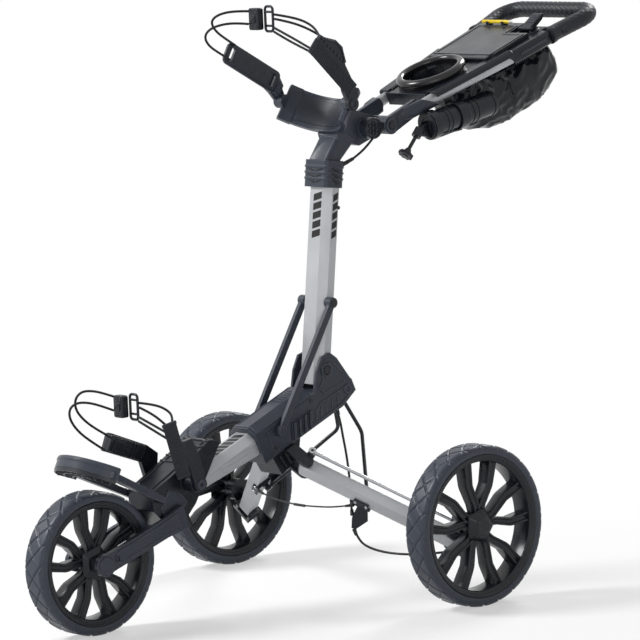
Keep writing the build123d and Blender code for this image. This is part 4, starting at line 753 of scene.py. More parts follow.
    def tube(self, path: Sequence[Vector], radius: float, sides: int = 12, closed: bool = False) -> None:
        """Add a round tube along a path."""
        self.loft(Form.tube_rings(path, radius, sides, closed), closed)

    @staticmethod
    def between(corners: Sequence[Vector], along: float, across: float) -> Vector:
        """A point in a four-cornered field, by shares along and across it."""
        return corners[0].lerp(corners[1], along).lerp(corners[3].lerp(corners[2], along), across)


class Workshop:
    """Turns bmesh shapes into pieces that ride on the frame."""

    def __init__(self, frame: dict) -> None:
        """Keep the loaded frame and start a set of materials.

        Args:
            frame: the loaded frame.
        """
        self.frame = frame
        self.materials = MaterialShop()
        self.surfaces: dict[str, BVHTree] = {}

    def seat(self, node: str, origin: Vector, toward: Vector) -> Vectors:
        """Find where a straight line from a point meets a CAD node.

        Args:
            node: the CAD node's name.
            origin: where the line starts, in metres.
            toward: its direction.

        Returns:
            The point on the node's surface and the surface's outward direction.
        """
        if node not in self.surfaces:
            mesh = self.frame["nodes"][node].data
            corners = [vert.co.copy() for vert in mesh.vertices]
            faces = [tuple(face.vertices) for face in mesh.polygons]
            self.surfaces[node] = BVHTree.FromPolygons(corners, faces)
        point, normal, _, _ = self.surfaces[node].ray_cast(origin, toward)
        if point is None:
            raise ValueError(f"nothing of {node} lies that way")
        return point, normal if normal.dot(toward) < 0 else -normal

    def bead(self, shape: Form, node: str, ends: Vectors, toward: Vector, radius: float, steps: int = 24) -> None:
        """Lay a round ridge over a node's surface, under a straight line.

        Args:
            shape: the shape to add to.
            node: the CAD node that carries the ridge.
            ends: both ends of the line, clear of the node.
            toward: which way the node lies from the line.
            radius: the ridge's radius in millimetres.
            steps: how many times the surface is felt.
        """
        path = []
        for step in range(steps + 1):
            try:
                path.append(self.seat(node, ends[0].lerp(ends[1], step / steps), toward)[0])
            except ValueError:
                continue
        shape.tube(path, radius, 8)

    def cut(self, shape: Form, tool: Form) -> Form:
        """Cut one closed shape out of another.

        Args:
            shape: the shape to cut. It is freed.
            tool: what is taken away. It is freed.

        Returns:
            A new shape.
        """
        items = []
        for part in (shape, tool):
            items.append(bpy.data.objects.new("cutting", part.into("cutting")))
            bpy.context.scene.collection.objects.link(items[-1])
        step = items[0].modifiers.new("cut", "BOOLEAN")
        step.object = items[1]
        step.solver = "EXACT"
        mesh = bpy.data.meshes.new_from_object(items[0].evaluated_get(bpy.context.evaluated_depsgraph_get()))
        result = Form()
        result.mesh.from_mesh(mesh)
        spent = [mesh] + [item.data for item in items]
        for item in items:
            bpy.data.objects.remove(item)
        for data in spent:
            bpy.data.meshes.remove(data)
        return result

    def dress(self, nodes: Iterable[str], finish: Finish) -> None:
        """Give CAD nodes a finish.

        Args:
            nodes: names of CAD nodes.
            finish: what they are finished in.
        """
        for name in nodes:
            mesh = self.frame["nodes"][name].data
            mesh.materials.clear()
            mesh.materials.append(self.materials.get(finish))
            LOG.info("dressed %s in %s", name, finish.name)

    def piece(
        self, shape: Form, name: str, body: str, finish: Finish, replaces: Sequence[str] = (), crease: float = 35,
    ) -> Item:
        """Make an object of a shape, dress it and let it ride.

        Args:
            shape: its form. It is freed.
            name: the piece's name.
            body: the CAD body that it rides on.
            finish: what it is finished in.
            replaces: CAD nodes that it stands for.
            crease: edges sharper than this many degrees stay sharp.

        Returns:
            The new object.
        """
        mesh = shape.into(name)
        mesh.materials.append(self.materials.get(finish))
        mesh.shade_smooth()
        mesh.set_sharp_from_angle(angle=math.radians(crease))
        item = bpy.data.objects.new(name, mesh)
        bpy.context.scene.collection.objects.link(item)
        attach(item, body)
        if replaces:
            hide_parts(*replaces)
        LOG.info("built %s with %d faces", name, len(mesh.polygons))
        return item


@dataclass
class Assembly:
    """A group of pieces, placed by the plan and made in the workshop."""

    shop: Workshop
    plan: Plan


@dataclass
class Wheel:
    """A tyre with a diamond tread on a deep rim with forked, channelled spokes."""

    shop: Workshop
    name: str
    hand: int
    cone_height: float
    tyre_width: float = 52
    rubber_depth: float = 17
    shoulder: float = 9
    groove_depth: float = 2.4
    groove_width: float = 5.4
    groove_pitch: float = 39
    groove_reach: float = 35
    turn_steps: int = 480
    tread_steps: int = 22
    rim_steps: int = 120
    lip: tuple[Pair, ...] = (
        (21, 15.4), (25, 17.2), (25.8, 18.4), (25.8, 20.2), (24.2, 21.4), (24.2, 23.4), (22.4, 24.6), (21.4, 27.6),
        (19, 29.4), (9, 31.4),
    )
    hub: tuple[Pair, ...] = ((21, 9.2), (21, 13), (15, 17))
    spoke_count: int = 5
    spoke_start: float = 16
    spoke_turn: float = 15
    spoke_back: float = -8
    spoke_stations: tuple[tuple[float, float, float, float], ...] = (
        (0.13, 0.2, 6.4, 14.6), (0.36, 0.78, 7, 14.8), (0.64, 1.22, 7.6, 15.8), (0.68, 1.22, 7.6, 16),
        (1.02, 1, 8.6, 18.4),
    )
    channel_depth: float = 2.8
    barrel_depth: float = 30.5
    cone_foot: float = 36
    cone_tip: float = 21
    cone_seat: float = 14

    def __post_init__(self) -> None:
        """Measure the wheel on the CAD tyre."""
        low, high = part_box(f"{self.name}_tyre")
        self.centre: Vector = (low + high) / 2
        self.radius: float = (high.z - low.z) / 2 / MM

    def build(self) -> None:
        """Make the tyre, the rim, the spokes and the hub cone."""
        self._tyre()
        self._rim()
        self._spokes()
        self._cone()

    def _piece(
        self, shape: Form, name: str, finish: Finish, replaces: Sequence[str] = (), crease: float = 35,
    ) -> None:
        """Make a piece that turns with the wheel."""
        self.shop.piece(shape, f"{self.name}_{name}", f"{self.name}_wheel", finish, replaces, crease)

    def _ring(self, shape: Form, side: Sequence[Pair], middle: Sequence[Pair], steps: int) -> None:
        """Turn a section, given for its left side and its middle, about the axle."""
        section = [*side, *middle, *((-x, r) for x, r in reversed(side))]
        shape.turned([self.centre + Vector((x, 0, r)) * MM for x, r in section], self.centre, ACROSS, steps)

    def _tyre(self) -> None:
        """Make the rubber tyre, turned from its section and cut with grooves."""
        half = self.tyre_width / 2
        inner = self.radius - self.rubber_depth
        corner = self.radius - self.shoulder
        side = [(half - 2.6, inner), (half - 0.9, inner + 0.8), (half - 0.2, inner + 2.6)]
        for step in range(9):
            turn = math.radians(11.25 * step)
            side.append((half - self.shoulder * (1 - math.cos(turn)), corner + self.shoulder * math.sin(turn)))
        shares = [1 - 2 * step / self.tread_steps for step in range(1, self.tread_steps)]
        shape = Form()
        self._ring(shape, side, [((half - self.shoulder) * share, self.radius) for share in shares], self.turn_steps)
        for vert in shape.mesh.verts:
            self._groove(vert)
        self._piece(shape, "tread_tyre", Finishes.TYRE, (f"{self.name}_tyre",), 50)

    def _groove(self, vert: bmesh.types.BMVert) -> None:
        """Sink one vertex where a groove crosses it.

        Args:
            vert: a vertex of the tyre.
        """
        arm = vert.co - self.centre
        out = Vector((0, arm.y, arm.z))
        depth_in = self.radius - out.length / MM
        if depth_in > self.shoulder:
            return
        pitches = round(math.tau * self.radius / self.groove_pitch)
        around = math.atan2(arm.y, arm.z) / math.tau * pitches
        slant = arm.x / MM / self.groove_reach
        gap = min(abs((around + hand * slant) % 1 - 0.5) for hand in (-1, 1)) * self.groove_pitch
        share = max(0, 1 - gap / (self.groove_width / 2))
        fade = 1 - 0.5 * min(1, depth_in / self.shoulder)
        vert.co -= out.normalized() * self.groove_depth * min(1, share * 1.5) * fade * MM

    def _rim(self) -> None:
        """Turn the rim with its stepped lips and deep barrel, and the hub in its middle."""
        shape = Form()
        self._ring(shape, [(x, self.radius - depth) for x, depth in self.lip], (), self.rim_steps)
        self._ring(shape, self.hub, (), 48)
        self._piece(shape, "deep_rim", Finishes.RIM, (f"{self.name}_rim",), 25)

    def _spokes(self) -> None:
        """Loft ten spokes in forked pairs, each with a channel along its outer face."""
        reach = self.radius - self.barrel_depth
        shape = Form()
        for spoke in range(self.spoke_count):
            base = self.spoke_start + 360 / self.spoke_count * spoke
            for turn in (-self.spoke_turn, self.spoke_turn):
                middle = []
                for share, swing, _, _ in self.spoke_stations:
                    angle = math.radians(base + turn * swing)
                    middle.append(Vector((0, math.cos(angle), math.sin(angle))) * reach * share)
                rings = []
                for index, (_, _, half, face) in enumerate(self.spoke_stations):
                    way = middle[min(index + 1, len(middle) - 1)] - middle[max(index - 1, 0)]
                    across = ACROSS.cross(way).normalized() * half
                    floor = face - self.channel_depth
                    section = [
                        (-1, self.spoke_back), (1, self.spoke_back), (1, face), (0.52, face), (0.38, floor),
                        (-0.38, floor), (-0.52, face), (-1, face),
                    ]
                    spot = middle[index]
                    rings.append(
                        [self.centre + (spot + across * t + ACROSS * self.hand * x) * MM for t, x in section]
                    )
                shape.loft(rings)
        shape.ease(0.7, 0.7, 2)
        self._piece(shape, "spokes", Finishes.RIM)

    def _cone(self) -> None:
        """Make the five-sided cone round the hub, with a round end and a ring of holes."""
        out = ACROSS * self.hand
        foot = self.centre + out * self.cone_seat * MM
        part = Form.cone(foot, foot + out * self.cone_height * MM, self.cone_foot, self.cone_tip, self.spoke_count)
        Form.soften(part, part.edges[:], 2.5, 3)
        shape = Form()
        shape.join(part)
        tip = foot + out * (self.cone_height - 0.4) * MM
        shape.washer(tip, out, 9, 12.5, 0.7)
        for step in range(self.spoke_count):
            turn = math.tau * step / self.spoke_count
            shape.washer(tip + Vector((0, math.cos(turn), math.sin(turn))) * 15.2 * MM, out, 1, 2, 0.6, 16)
        self._piece(shape, "hub_cone", Finishes.RIM, (f"{self.name}_hub_cap",) if self.name != "front" else ())


@dataclass
class Wheels(Assembly):
    """The front wheel and the two rear wheels."""

    front_cone: float = 7.2
    rear_cone: float = 12.8

    def build(self) -> None:
        """Make the three wheels."""
        Wheel(self.shop, "front", 1, self.front_cone).build()
        Wheel(self.shop, "left", 1, self.rear_cone).build()
        Wheel(self.shop, "right", -1, self.rear_cone).build()


@dataclass(frozen=True)
class Strand:
    """One cord: its name, its real length in metres and its route in millimetres."""

    name: str
    length: float
    route: tuple[Triple, ...]


@dataclass
class Cords(Assembly):
    """Elastic strap cords and brake cables, each on one smooth curve."""

    bungee: float = 4.5
    cable: float = 4.5
    thin_cable: float = 3
    upper: tuple[Strand, ...] = (
        Strand("upper_loop_outer", 0.157, (
            (-85.4, -148, 1010), (-85.4, -172, 1024), (-83, -196, 1040), (-74, -212, 1057), (-60, -208, 1069),
            (-45, -184, 1075), (-29.2, -158, 1073))),
        Strand("upper_loop_inner", 0.173, (
            (-85.4, -161, 984), (-85.4, -188, 999), (-83, -213, 1014), (-76, -227, 1031), (-63, -224, 1045),
            (-51, -204, 1052), (-40, -180, 1053), (-29.2, -160, 1050))),
        Strand("upper_strand_a", 0.106, (
            (25.4, -145, 1067), (43, -120, 1061), (62, -100, 1051), (81, -92, 1036), (94.8, -97, 1021))),
        Strand("upper_strand_b", 0.118, (
            (25.4, -145, 1059), (43, -122, 1052), (62, -100, 1040), (79, -82, 1025), (94.8, -67, 1008))),
        Strand("upper_strand_c", 0.083, ((25.4, -146, 1043), (48, -140, 1032), (72, -131, 1019), (94.8, -121, 1005))),
        Strand("upper_strand_d", 0.085, ((25.4, -147, 1036), (46, -138, 1023), (70, -128, 1010), (94.8, -117, 997))),
    )
    lower: tuple[Strand, ...] = (
        Strand("lower_loop_outer", 0.198, (
            (-63.4, -493, 333), (-65, -520, 349), (-67, -547, 369), (-65, -567, 391), (-59, -572, 412),
            (-52, -562, 425), (-46, -541, 424), (-39, -520, 417), (-31.2, -502, 409))),
        Strand("lower_loop_inner", 0.206, (
            (-63.4, -507, 311), (-65, -537, 331), (-68, -563, 353), (-66, -581, 377), (-60, -584, 397),
            (-53, -572, 406), (-47, -551, 404), (-39, -529, 396), (-31.2, -508, 386))),
        Strand("lower_strand_a", 0.086, (
            (23.4, -493, 402), (38, -472, 398), (53, -456, 389), (65, -450, 376), (73.6, -461, 362))),
        Strand("lower_strand_b", 0.11, (
            (23.4, -493, 394), (36, -475, 382), (49, -457, 362), (58, -440, 340), (63.4, -427, 318))),
        Strand("lower_strand_c", 0.06, ((23.4, -495, 377), (48, -489, 367), (73.8, -476, 352))),
        Strand("lower_strand_d", 0.065, ((23.4, -496, 370), (48, -488, 357), (73.8, -470, 338))),
    )
    mast_cable: Strand = Strand("mast_brake_cable", 0.072, (
        (49, 60, 828), (45, 46, 812), (38, 26, 796), (33, 6, 784)))
    frame_cable: Strand = Strand("frame_brake_cable", 0.228, (
        (14, -27, 335), (21.6, -25.3, 311.3), (32.9, -30.2, 284.3), (54.3, -42.2, 257.2), (79.9, -59.5, 227.5),
        (103.9, -77.5, 196.5), (116.7, -89, 172.3), (130, -98, 157)))
    hub_cable: Strand = Strand("hub_brake_cable", 0.222, (
        (134.2, -98.3, 129.1), (144, -97, 110), (166, -92, 98), (200, -84, 92), (236, -74, 91), (268, -57, 92),
        (293, -32, 94), (310.5, -5, 95.5)))
    cross_left: Strand = Strand("cross_cable_left", 0.135, (
        (134, -98.5, 174.6), (98, -106, 168), (50, -112, 164.5), (0.5, -114, 163)))

    def build(self) -> None:
        """Make every cord: the strap cords and the mast cable ride on their bodies, and the other cables stay where
        they are laid.
        """
        groups = (
            (self.upper, "upper_right_arm", "upper_cords", self.bungee, Finishes.CORD, "taut"),
            (self.lower, "lower_right_arm", "lower_cords", self.bungee, Finishes.CORD, "taut"),
            ((self.mast_cable,), "mast", "upper_brake_cable", self.cable, Finishes.CABLE, "hanging"),
        )
        for strands, body, node, diameter, finish, lay in groups:
            for strand in strands:
                item = self._curve(strand, diameter, finish)
                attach(item, body)
                if strand is strands[0]:
                    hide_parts(node)
                self.plan.place(*strand.route[0])
        self._bent(self.frame_cable, self.cable, ("frame", "left_leg"), ("lower_brake_cable",), (0, -1))
        self._bent(self.hub_cable, self.cable, ("left_leg", "left_carrier"), ("left_hub_cable",), (0, -1))
        self._bent(self.cross_left, self.thin_cable, ("frame", "left_leg"), ("cross_cable",), (-1, 0))
        mirrored = tuple((-x, behind, height) for x, behind, height in self.cross_left.route)
        cross_right = Strand("cross_cable_right", self.cross_left.length, mirrored)
        self._bent(cross_right, self.thin_cable, ("frame", "right_leg"), (), (-1, 0))

    def _line(self, strand: Strand) -> bpy.types.Curve:
        """A smooth curve with the route's points as its control points.

        Args:
            strand: the cord.

        Returns:
            A curve without thickness.
        """
        curve = bpy.data.curves.new(strand.name, "CURVE")
        curve.dimensions = "3D"
        curve.resolution_u = 10
        spline = curve.splines.new("NURBS")
        spline.points.add(len(strand.route) - 1)
        for point, station in zip(spline.points, strand.route):
            point.co = (*self.plan.place(*station), 1)
        spline.order_u = 3
        spline.use_endpoint_u = True
        return curve

    def _curve(self, strand: Strand, diameter: float, finish: Finish) -> Item:
        """A cord as a round curve object.

        Args:
            strand: the cord.
            diameter: its diameter in millimetres.
            finish: what it is finished in.

        Returns:
            The new object.
        """
        curve = self._line(strand)
        curve.bevel_depth = diameter / 2 * MM
        curve.bevel_resolution = 4
        curve.use_fill_caps = True
        curve.materials.append(self.shop.materials.get(finish))
        item = bpy.data.objects.new(strand.name, curve)
        bpy.context.scene.collection.objects.link(item)
        LOG.info("laid %s", strand.name)
        return item

    def _bent(
        self, strand: Strand, diameter: float, bodies: tuple[str, str], replaces: Sequence[str],
        ends: tuple[int, int],
    ) -> None:
        """A cable as a tube baked from its curve, laid between two bodies of one joint.

        Args:
            strand: the cable.
            diameter: its diameter in millimetres.
            bodies: not used.
            replaces: CAD nodes that it stands for.
            ends: which points of the route are looked up as its two ends; nothing more is done with them.
        """
        bare = bpy.data.objects.new(f"{strand.name}_line", self._line(strand))
        line = bpy.data.meshes.new_from_object(bare)
        round_curve = self._curve(strand, diameter, Finishes.CABLE)
        bpy.context.view_layer.update()
        mesh = bpy.data.meshes.new_from_object(round_curve)
        mesh.name = strand.name
        curve = round_curve.data
        bpy.data.objects.remove(round_curve)
        bpy.data.objects.remove(bare)
        bpy.data.curves.remove(curve)
        bpy.data.meshes.remove(line)
        item = bpy.data.objects.new(strand.name, mesh)
        bpy.context.scene.collection.objects.link(item)
        if replaces:
            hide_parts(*replaces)
        self.plan.place(*strand.route[0])
        start, end = (self.plan.place(*strand.route[index]) for index in ends)
        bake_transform(item)


@dataclass
class Fasteners:
    """Screw heads that sit on the faces of the frame."""

    shop: Workshop
    stand_off: float = 60

    def add(
        self, name: str, body: str, node: str, places: Sequence[Vector], outward: Vector, radius: float = 4.5,
        height: float = 1.4, finish: Finish = Finishes.DARK_STEEL,
    ) -> None:
        """Seat a row of screws on one node.

        Args:
            name: the piece's name.
            body: the body that it rides on.
            node: the CAD node that the heads sit on.
            places: points near the heads' seats.
            outward: which way the heads look.
            radius: head radius in millimetres.
            height: head height in millimetres.
            finish: what they are finished in.
        """
        shape = Form()
        for place in places:
            seat, _ = self.shop.seat(node, place + outward * self.stand_off * MM, -outward)
            shape.screw(seat, outward, radius, height)
        self.shop.piece(shape, name, body, finish)


@dataclass
class Strap:
    """Ribbed webbing between four corners, with a rolled end that holds the cords."""

    shop: Workshop
    thickness: float = 1.8
    rib_pitch: float = 4.6
    rib_height: float = 0.9
    roll_radius: float = 3.6

    def build(self, name: str, body: str, corners: Sequence[Vector], replaces: str) -> None:
        """Make one strap.

        Args:
            name: the piece's name.
            body: the body that it rides on.
            corners: its sewn end's two corners and its free end's two, in order round it.
            replaces: the CAD node that it stands for.
        """
        shape = Form()
        shape.slab(corners, ACROSS * self.thickness * MM, 0.4, 2)
        area = [corners[0], corners[3], corners[2], corners[1]]
        length = (corners[2] - corners[1]).length / MM
        count = int(length / self.rib_pitch)
        lift = ACROSS * (self.thickness - 0.15) * MM
        for index in range(1, count):
            share = index / count
            start = Form.between(area, 1 - share, 0.04)
            end = Form.between(area, 1 - share, 0.96)
            shape.bar(start + lift, end + lift, ACROSS, self.rib_pitch * 0.55, self.rib_height)
        middle = ACROSS * self.thickness / 2 * MM
        shape.rod(corners[2] + middle, corners[3] + middle, self.roll_radius, bevel=1)
        self.shop.piece(shape, name, body, Finishes.WEBBING, (replaces,))


@dataclass
class Buckle:
    """A press buckle: a ribbed block with a button and the round frame that it catches."""

    shop: Workshop
    block_width: float = 26
    block_height: float = 40
    block_depth: float = 14
    frame_width: float = 26.4
    frame_height: float = 50
    frame_bar: float = 2.5
    frame_corner: float = 6
    frame_shift: float = 9

    def _at(self, centre: Vector, x: float, up: float, forward: float) -> Vector:
        """A point by millimetres across from the middle, above it and before it."""
        return centre + Vector((x, -forward, up)) * MM

    def build(self, name: str, body: str, centre: Vector, replaces: str) -> None:
        """Make one buckle about the point where its block and frame meet.

        Args:
            name: the pieces' first name.
            body: the body that they ride on.
            centre: the meeting point, in metres.
            replaces: the CAD node that they stand for.
        """
        front = Vector((0, -1, 0))
        half_depth = self.block_depth / 2
        shape = Form()
        low, high = -self.block_height / 2, self.block_height / 2
        outline = [(-self.block_width, low), (0, low), (0, high), (-self.block_width, high)]
        face = [self._at(centre, x, z, -half_depth) for x, z in outline]
        shape.slab(face, front * self.block_depth * MM, 1.5, 3, 4)
        for row in range(3):
            for edge in (-1, 1):
                start = self._at(centre, 4 - self.block_width, edge * (high - 3 - 3.2 * row), half_depth - 0.2)
                shape.bar(start, start + ACROSS * (self.block_width - 8) * MM, front, 1.6, 1.1)
        button = [(-19, -7), (-7, -7), (-7, 7), (-19, 7)]
        seat = [self._at(centre, x, z, half_depth - 0.3) for x, z in button]
        shape.slab(seat, front * 2.2 * MM, 0.9, 2, 3)
        self.shop.piece(shape, f"{name}_block", body, Finishes.FITTING, (replaces,))
        ring = Form()
        reach = self.frame_height / 2 - self.frame_bar
        corners = [(self.frame_bar, -reach), (self.frame_width - self.frame_bar, -reach)]
        corners += [(x, -z) for x, z in reversed(corners)]
        points = [self._at(centre, x, z, -self.frame_shift) for x, z in corners]
        start = points[0].lerp(points[3], 0.5)
        ring.tube(Form.rounded([start, *points, start], self.frame_corner, 2)[:-1], self.frame_bar, 12, True)
        for share in (0.22, 0.78):
            ring.rod(points[0].lerp(points[3], share), points[1].lerp(points[2], share), 2.2, segments=12)
        self.shop.piece(ring, f"{name}_frame", body, Finishes.FITTING)


@dataclass
class FrontEnd(Assembly):
    """Fork, bag rest, front bracket and the lower cradle's pad, strap and buckle."""

    fork_face: float = 48
    rest_centre: float = 95
    rest_radius: float = 94
    rest_spread: float = 63
    rest_half: float = 6
    lip_top: float = 15
    lip_band: float = 13
    rib_count: int = 11
    arm_reach: float = 101
    arm_rise: float = 92
    pad_face: float = -66

    def build(self) -> None:
        """Make the front end's pieces in order."""
        self._fork()
        self._rest()
        self._pad()
        self._strap()
        self._bracket()

    def _fork(self) -> None:
        """Raise a panel on each fork leg, cap the axle and fill the square hole with a near-black plate as painted
        shade.
        """
        axle = self.plan.pivot("front_wheel_spin")
        root = self.plan.place(0, -430, 186)
        run = (axle - root).normalized()
        square = Vector((0, -run.z, run.y))
        panels = Form()
        holes = Form()
        for hand in (-1, 1):
            out = ACROSS * hand
            face = out * self.fork_face * MM
            stations = [(root, 6, 15), (root, 44, 12), (axle, -30, 12), (axle, -22, 5)]
            near = [point + run * along * MM + square * across * MM + face for point, along, across in stations]
            far = [point + run * along * MM - square * across * MM + face for point, along, across in stations]
            panels.panel(near + far[::-1], out * 1.4 * MM, 2.6, 0.9)
            panels.rod(axle + face, axle + face + out * 3.3 * MM, 17, 14, 40, 1.2)
            # The square hole is a near-black plate with a sunk middle: painted shade where the fork is open.
            spot = axle - run * 26 * MM + face
            corners = [(-3.5, -4.5), (3.5, -4.5), (3.5, 4.5), (-3.5, 4.5)]
            outline = [spot + (run * along + square * across) * MM for along, across in corners]
            holes.panel(outline, out * 1.9 * MM, 0.9, 1.6)
        self.shop.piece(panels, "fork_panels", "frame", Finishes.CHARCOAL)
        self.shop.piece(holes, "fork_square_holes", "frame", Finishes.DARK_PRINT_AND_SHADE)

    def _rest_point(self, reach: float, degrees: float, up: float) -> Vector:
        """A point on the bag rest's crescent, out from its centre and round from its middle."""
        turn = math.radians(degrees)
        return self.plan.rest(self.rest_centre + reach * math.cos(turn), up, reach * math.sin(turn))

    def _rest_axis(self) -> Vector:
        """The direction square to the bag rest's top."""
        return (self.plan.rest(0, 1) - self.plan.rest(0, 0)).normalized()

    def _rest_band(self, shape: Form, section: Sequence[Pair], spread: float, steps: int) -> None:
        """Sweep a section round the crescent, by an angle in degrees to each side of its middle."""
        profile = [self._rest_point(reach, -spread, up) for reach, up in section]
        shape.arc(profile, self.plan.rest(self.rest_centre, 0), self._rest_axis(), 2 * spread, steps)

    def _rest(self) -> None:
        """Cap the bag rest's lip with facets and set ribs under its crescent."""
        axis = self._rest_axis()
        inner = self.rest_radius - self.lip_band
        cap = Form()
        section = [
            (inner - 1.2, self.lip_top - 7), (inner - 1.2, self.lip_top - 1), (inner + 3, self.lip_top + 1.6),
            (self.rest_radius - 3.5, self.lip_top + 1.6), (self.rest_radius + 1, self.lip_top - 2.5),
            (self.rest_radius + 1, self.lip_top - 7),
        ]
        self._rest_band(cap, section, self.rest_spread, 42)
        self.shop.piece(cap, "rest_lip_cap", "frame", Finishes.CHARCOAL, (), 20)
        ribs = Form()
        for index in range(self.rib_count):
            degrees = self.rest_spread * (2 * index / (self.rib_count - 1) - 1) * 0.94
            ribs.rib(
                self._rest_point, (self.rest_radius - 38, degrees, -self.rest_half + 0.3),
                (self.rest_radius - 2, degrees, -self.rest_half + 0.3), -axis, 2.4, 7.5,
            )
        for reach in (self.rest_radius - 3, self.rest_radius - 20, self.rest_radius - 37):
            section = [(reach, -5.7), (reach + 2.4, -5.7), (reach + 2.4, -13), (reach, -13)]
            self._rest_band(ribs, section, self.rest_spread, 36)
        self.shop.piece(ribs, "rest_under_ribs", "frame", Finishes.FITTING)
        pad = Form()
        section = [(inner - 22, 5.8), (inner - 4, 5.8), (inner - 5.5, 8.4), (inner - 20.5, 8.4)]
        self._rest_band(pad, section, self.rest_spread - 8, 36)
        self.shop.piece(pad, "rest_foam_strip", "frame", Finishes.PAD)
        sides = Form()
        for hand in (-1, 1):
            for along in (14, 34, 54, 74):
                sides.rib(
                    self.plan.rest, (along, self.rest_half - 0.2, hand * (38 + along * 0.21)),
                    (along, self.rest_half - 0.2, hand * (46 + along * 0.29)), axis, 3, 1.4,
                )
        self.shop.piece(sides, "rest_rail_cleats", "frame", Finishes.CHARCOAL)

    def _arm_point(self, along: float, up: float, x: float) -> Vector:
        """A point on a lower arm, by shares of its reach and rise."""
        return self.plan.lower(along * self.arm_reach, up * self.arm_rise, x)

    def _pad(self) -> None:
        """Make the lower right arm's pad: a plate with chevrons, a strap bar and a cord block."""
        corners = [
            self._arm_point(along, up, self.pad_face)
            for along, up in ((-0.98, 0.66), (-0.25, 0.36), (-0.11, 0.64), (-0.86, 0.97))
        ]
        plate = Form()
        plate.slab(corners, ACROSS * 3 * MM, 1.2, 3, 5)
        lift = ACROSS * 2.8 * MM
        for step in range(3):
            tip = 0.26 + 0.1 * step
            middle = Form.between(corners, tip, 0.5) + lift
            for side in (0.22, 0.78):
                plate.bar(middle, Form.between(corners, tip + 0.1, side) + lift, ACROSS, 3, 1.2)
        window = [
            Form.between(corners, u, v) + lift for u, v in ((0.16, 0.12), (0.6, 0.12), (0.6, 0.88), (0.16, 0.88))
        ]
        for start, end in zip(window, window[1:] + window[:1]):
            plate.bar(start, end, ACROSS, 1.8, 1)
        for share in (0.68, 0.76):
            start, end = (Form.between(corners, share, v) + lift for v in (0.06, 0.94))
            plate.bar(start, end, ACROSS, 3.4, 2.6)
        block = [Form.between(corners, u, v) for u, v in ((-0.03, 0.02), (0.1, 0.02), (0.1, 0.98), (-0.03, 0.98))]
        plate.slab(block, ACROSS * 5.6 * MM, 1.4, 3)
        self.shop.piece(plate, "lower_pad_plate", "lower_right_arm", Finishes.FITTING)
        outer = Form()
        back = [
            self._arm_point(along, up, self.pad_face - 17.8)
            for along, up in ((-0.88, 0.69), (-0.3, 0.45), (-0.2, 0.62), (-0.8, 0.86))
        ]
        outer.panel(back, ACROSS * -1.2 * MM, 2.4, 0.9)
        self.shop.piece(outer, "lower_pad_back_panel", "lower_right_arm", Finishes.FITTING)

    def _strap(self) -> None:
        """Make the lower strap and its buckle."""
        outline = ((-0.24, 0.22), (-0.53, 0.17), (-0.81, 1.24), (-0.52, 1.3))
        corners = [self._arm_point(along, up, 76.2) for along, up in outline]
        Strap(self.shop).build("lower_strap", "lower_left_arm", corners, "lower_webbing")
        Buckle(self.shop).build("lower_clasp", "lower_right_arm", self.plan.lower(-101, 146, -3), "lower_buckle")

    def _bracket(self) -> None:
        """Frame the bracket's sides, ring its hinges and bead its top and the fork's."""
        shape = Form()
        for hand in (-1, 1):
            outline = [(-466, 210), (-452, 186), (-424, 190), (-404, 214), (-420, 232), (-446, 240)]
            corners = [self.plan.place(hand * 35.2, behind, height) for behind, height in outline]
            shape.panel(corners, ACROSS * hand * 1.4 * MM, 3, 1)
            hinge = self.plan.lower(0, 0, hand * 76)
            shape.washer(hinge, ACROSS * hand, 4.2, 9, 1.6)
        self.shop.piece(shape, "bracket_side_panels", "frame", Finishes.CHARCOAL)
        hoops = Form()
        for along in (-92, -76, -60, -44, -28):
            ends = self.plan.spine(along, 90, -35), self.plan.spine(along, 90, 35)
            self.shop.bead(hoops, "front_bracket", ends, -self.plan.spine_up(), 2.2, 40)
        for hand in (-1, 1):
            ends = self.plan.place(hand * 24, -480, 330), self.plan.place(hand * 24, -330, 330)
            self.shop.bead(hoops, "front_bracket", ends, Vector((0, 0, -1)), 2, 40)
            ends = self.plan.place(hand * 43, -500, 260), self.plan.place(hand * 43, -420, 260)
            self.shop.bead(hoops, "front_fork", ends, Vector((0, 0, -1)), 1.8, 30)
        self.shop.piece(hoops, "bracket_hoops", "frame", Finishes.BLACK)


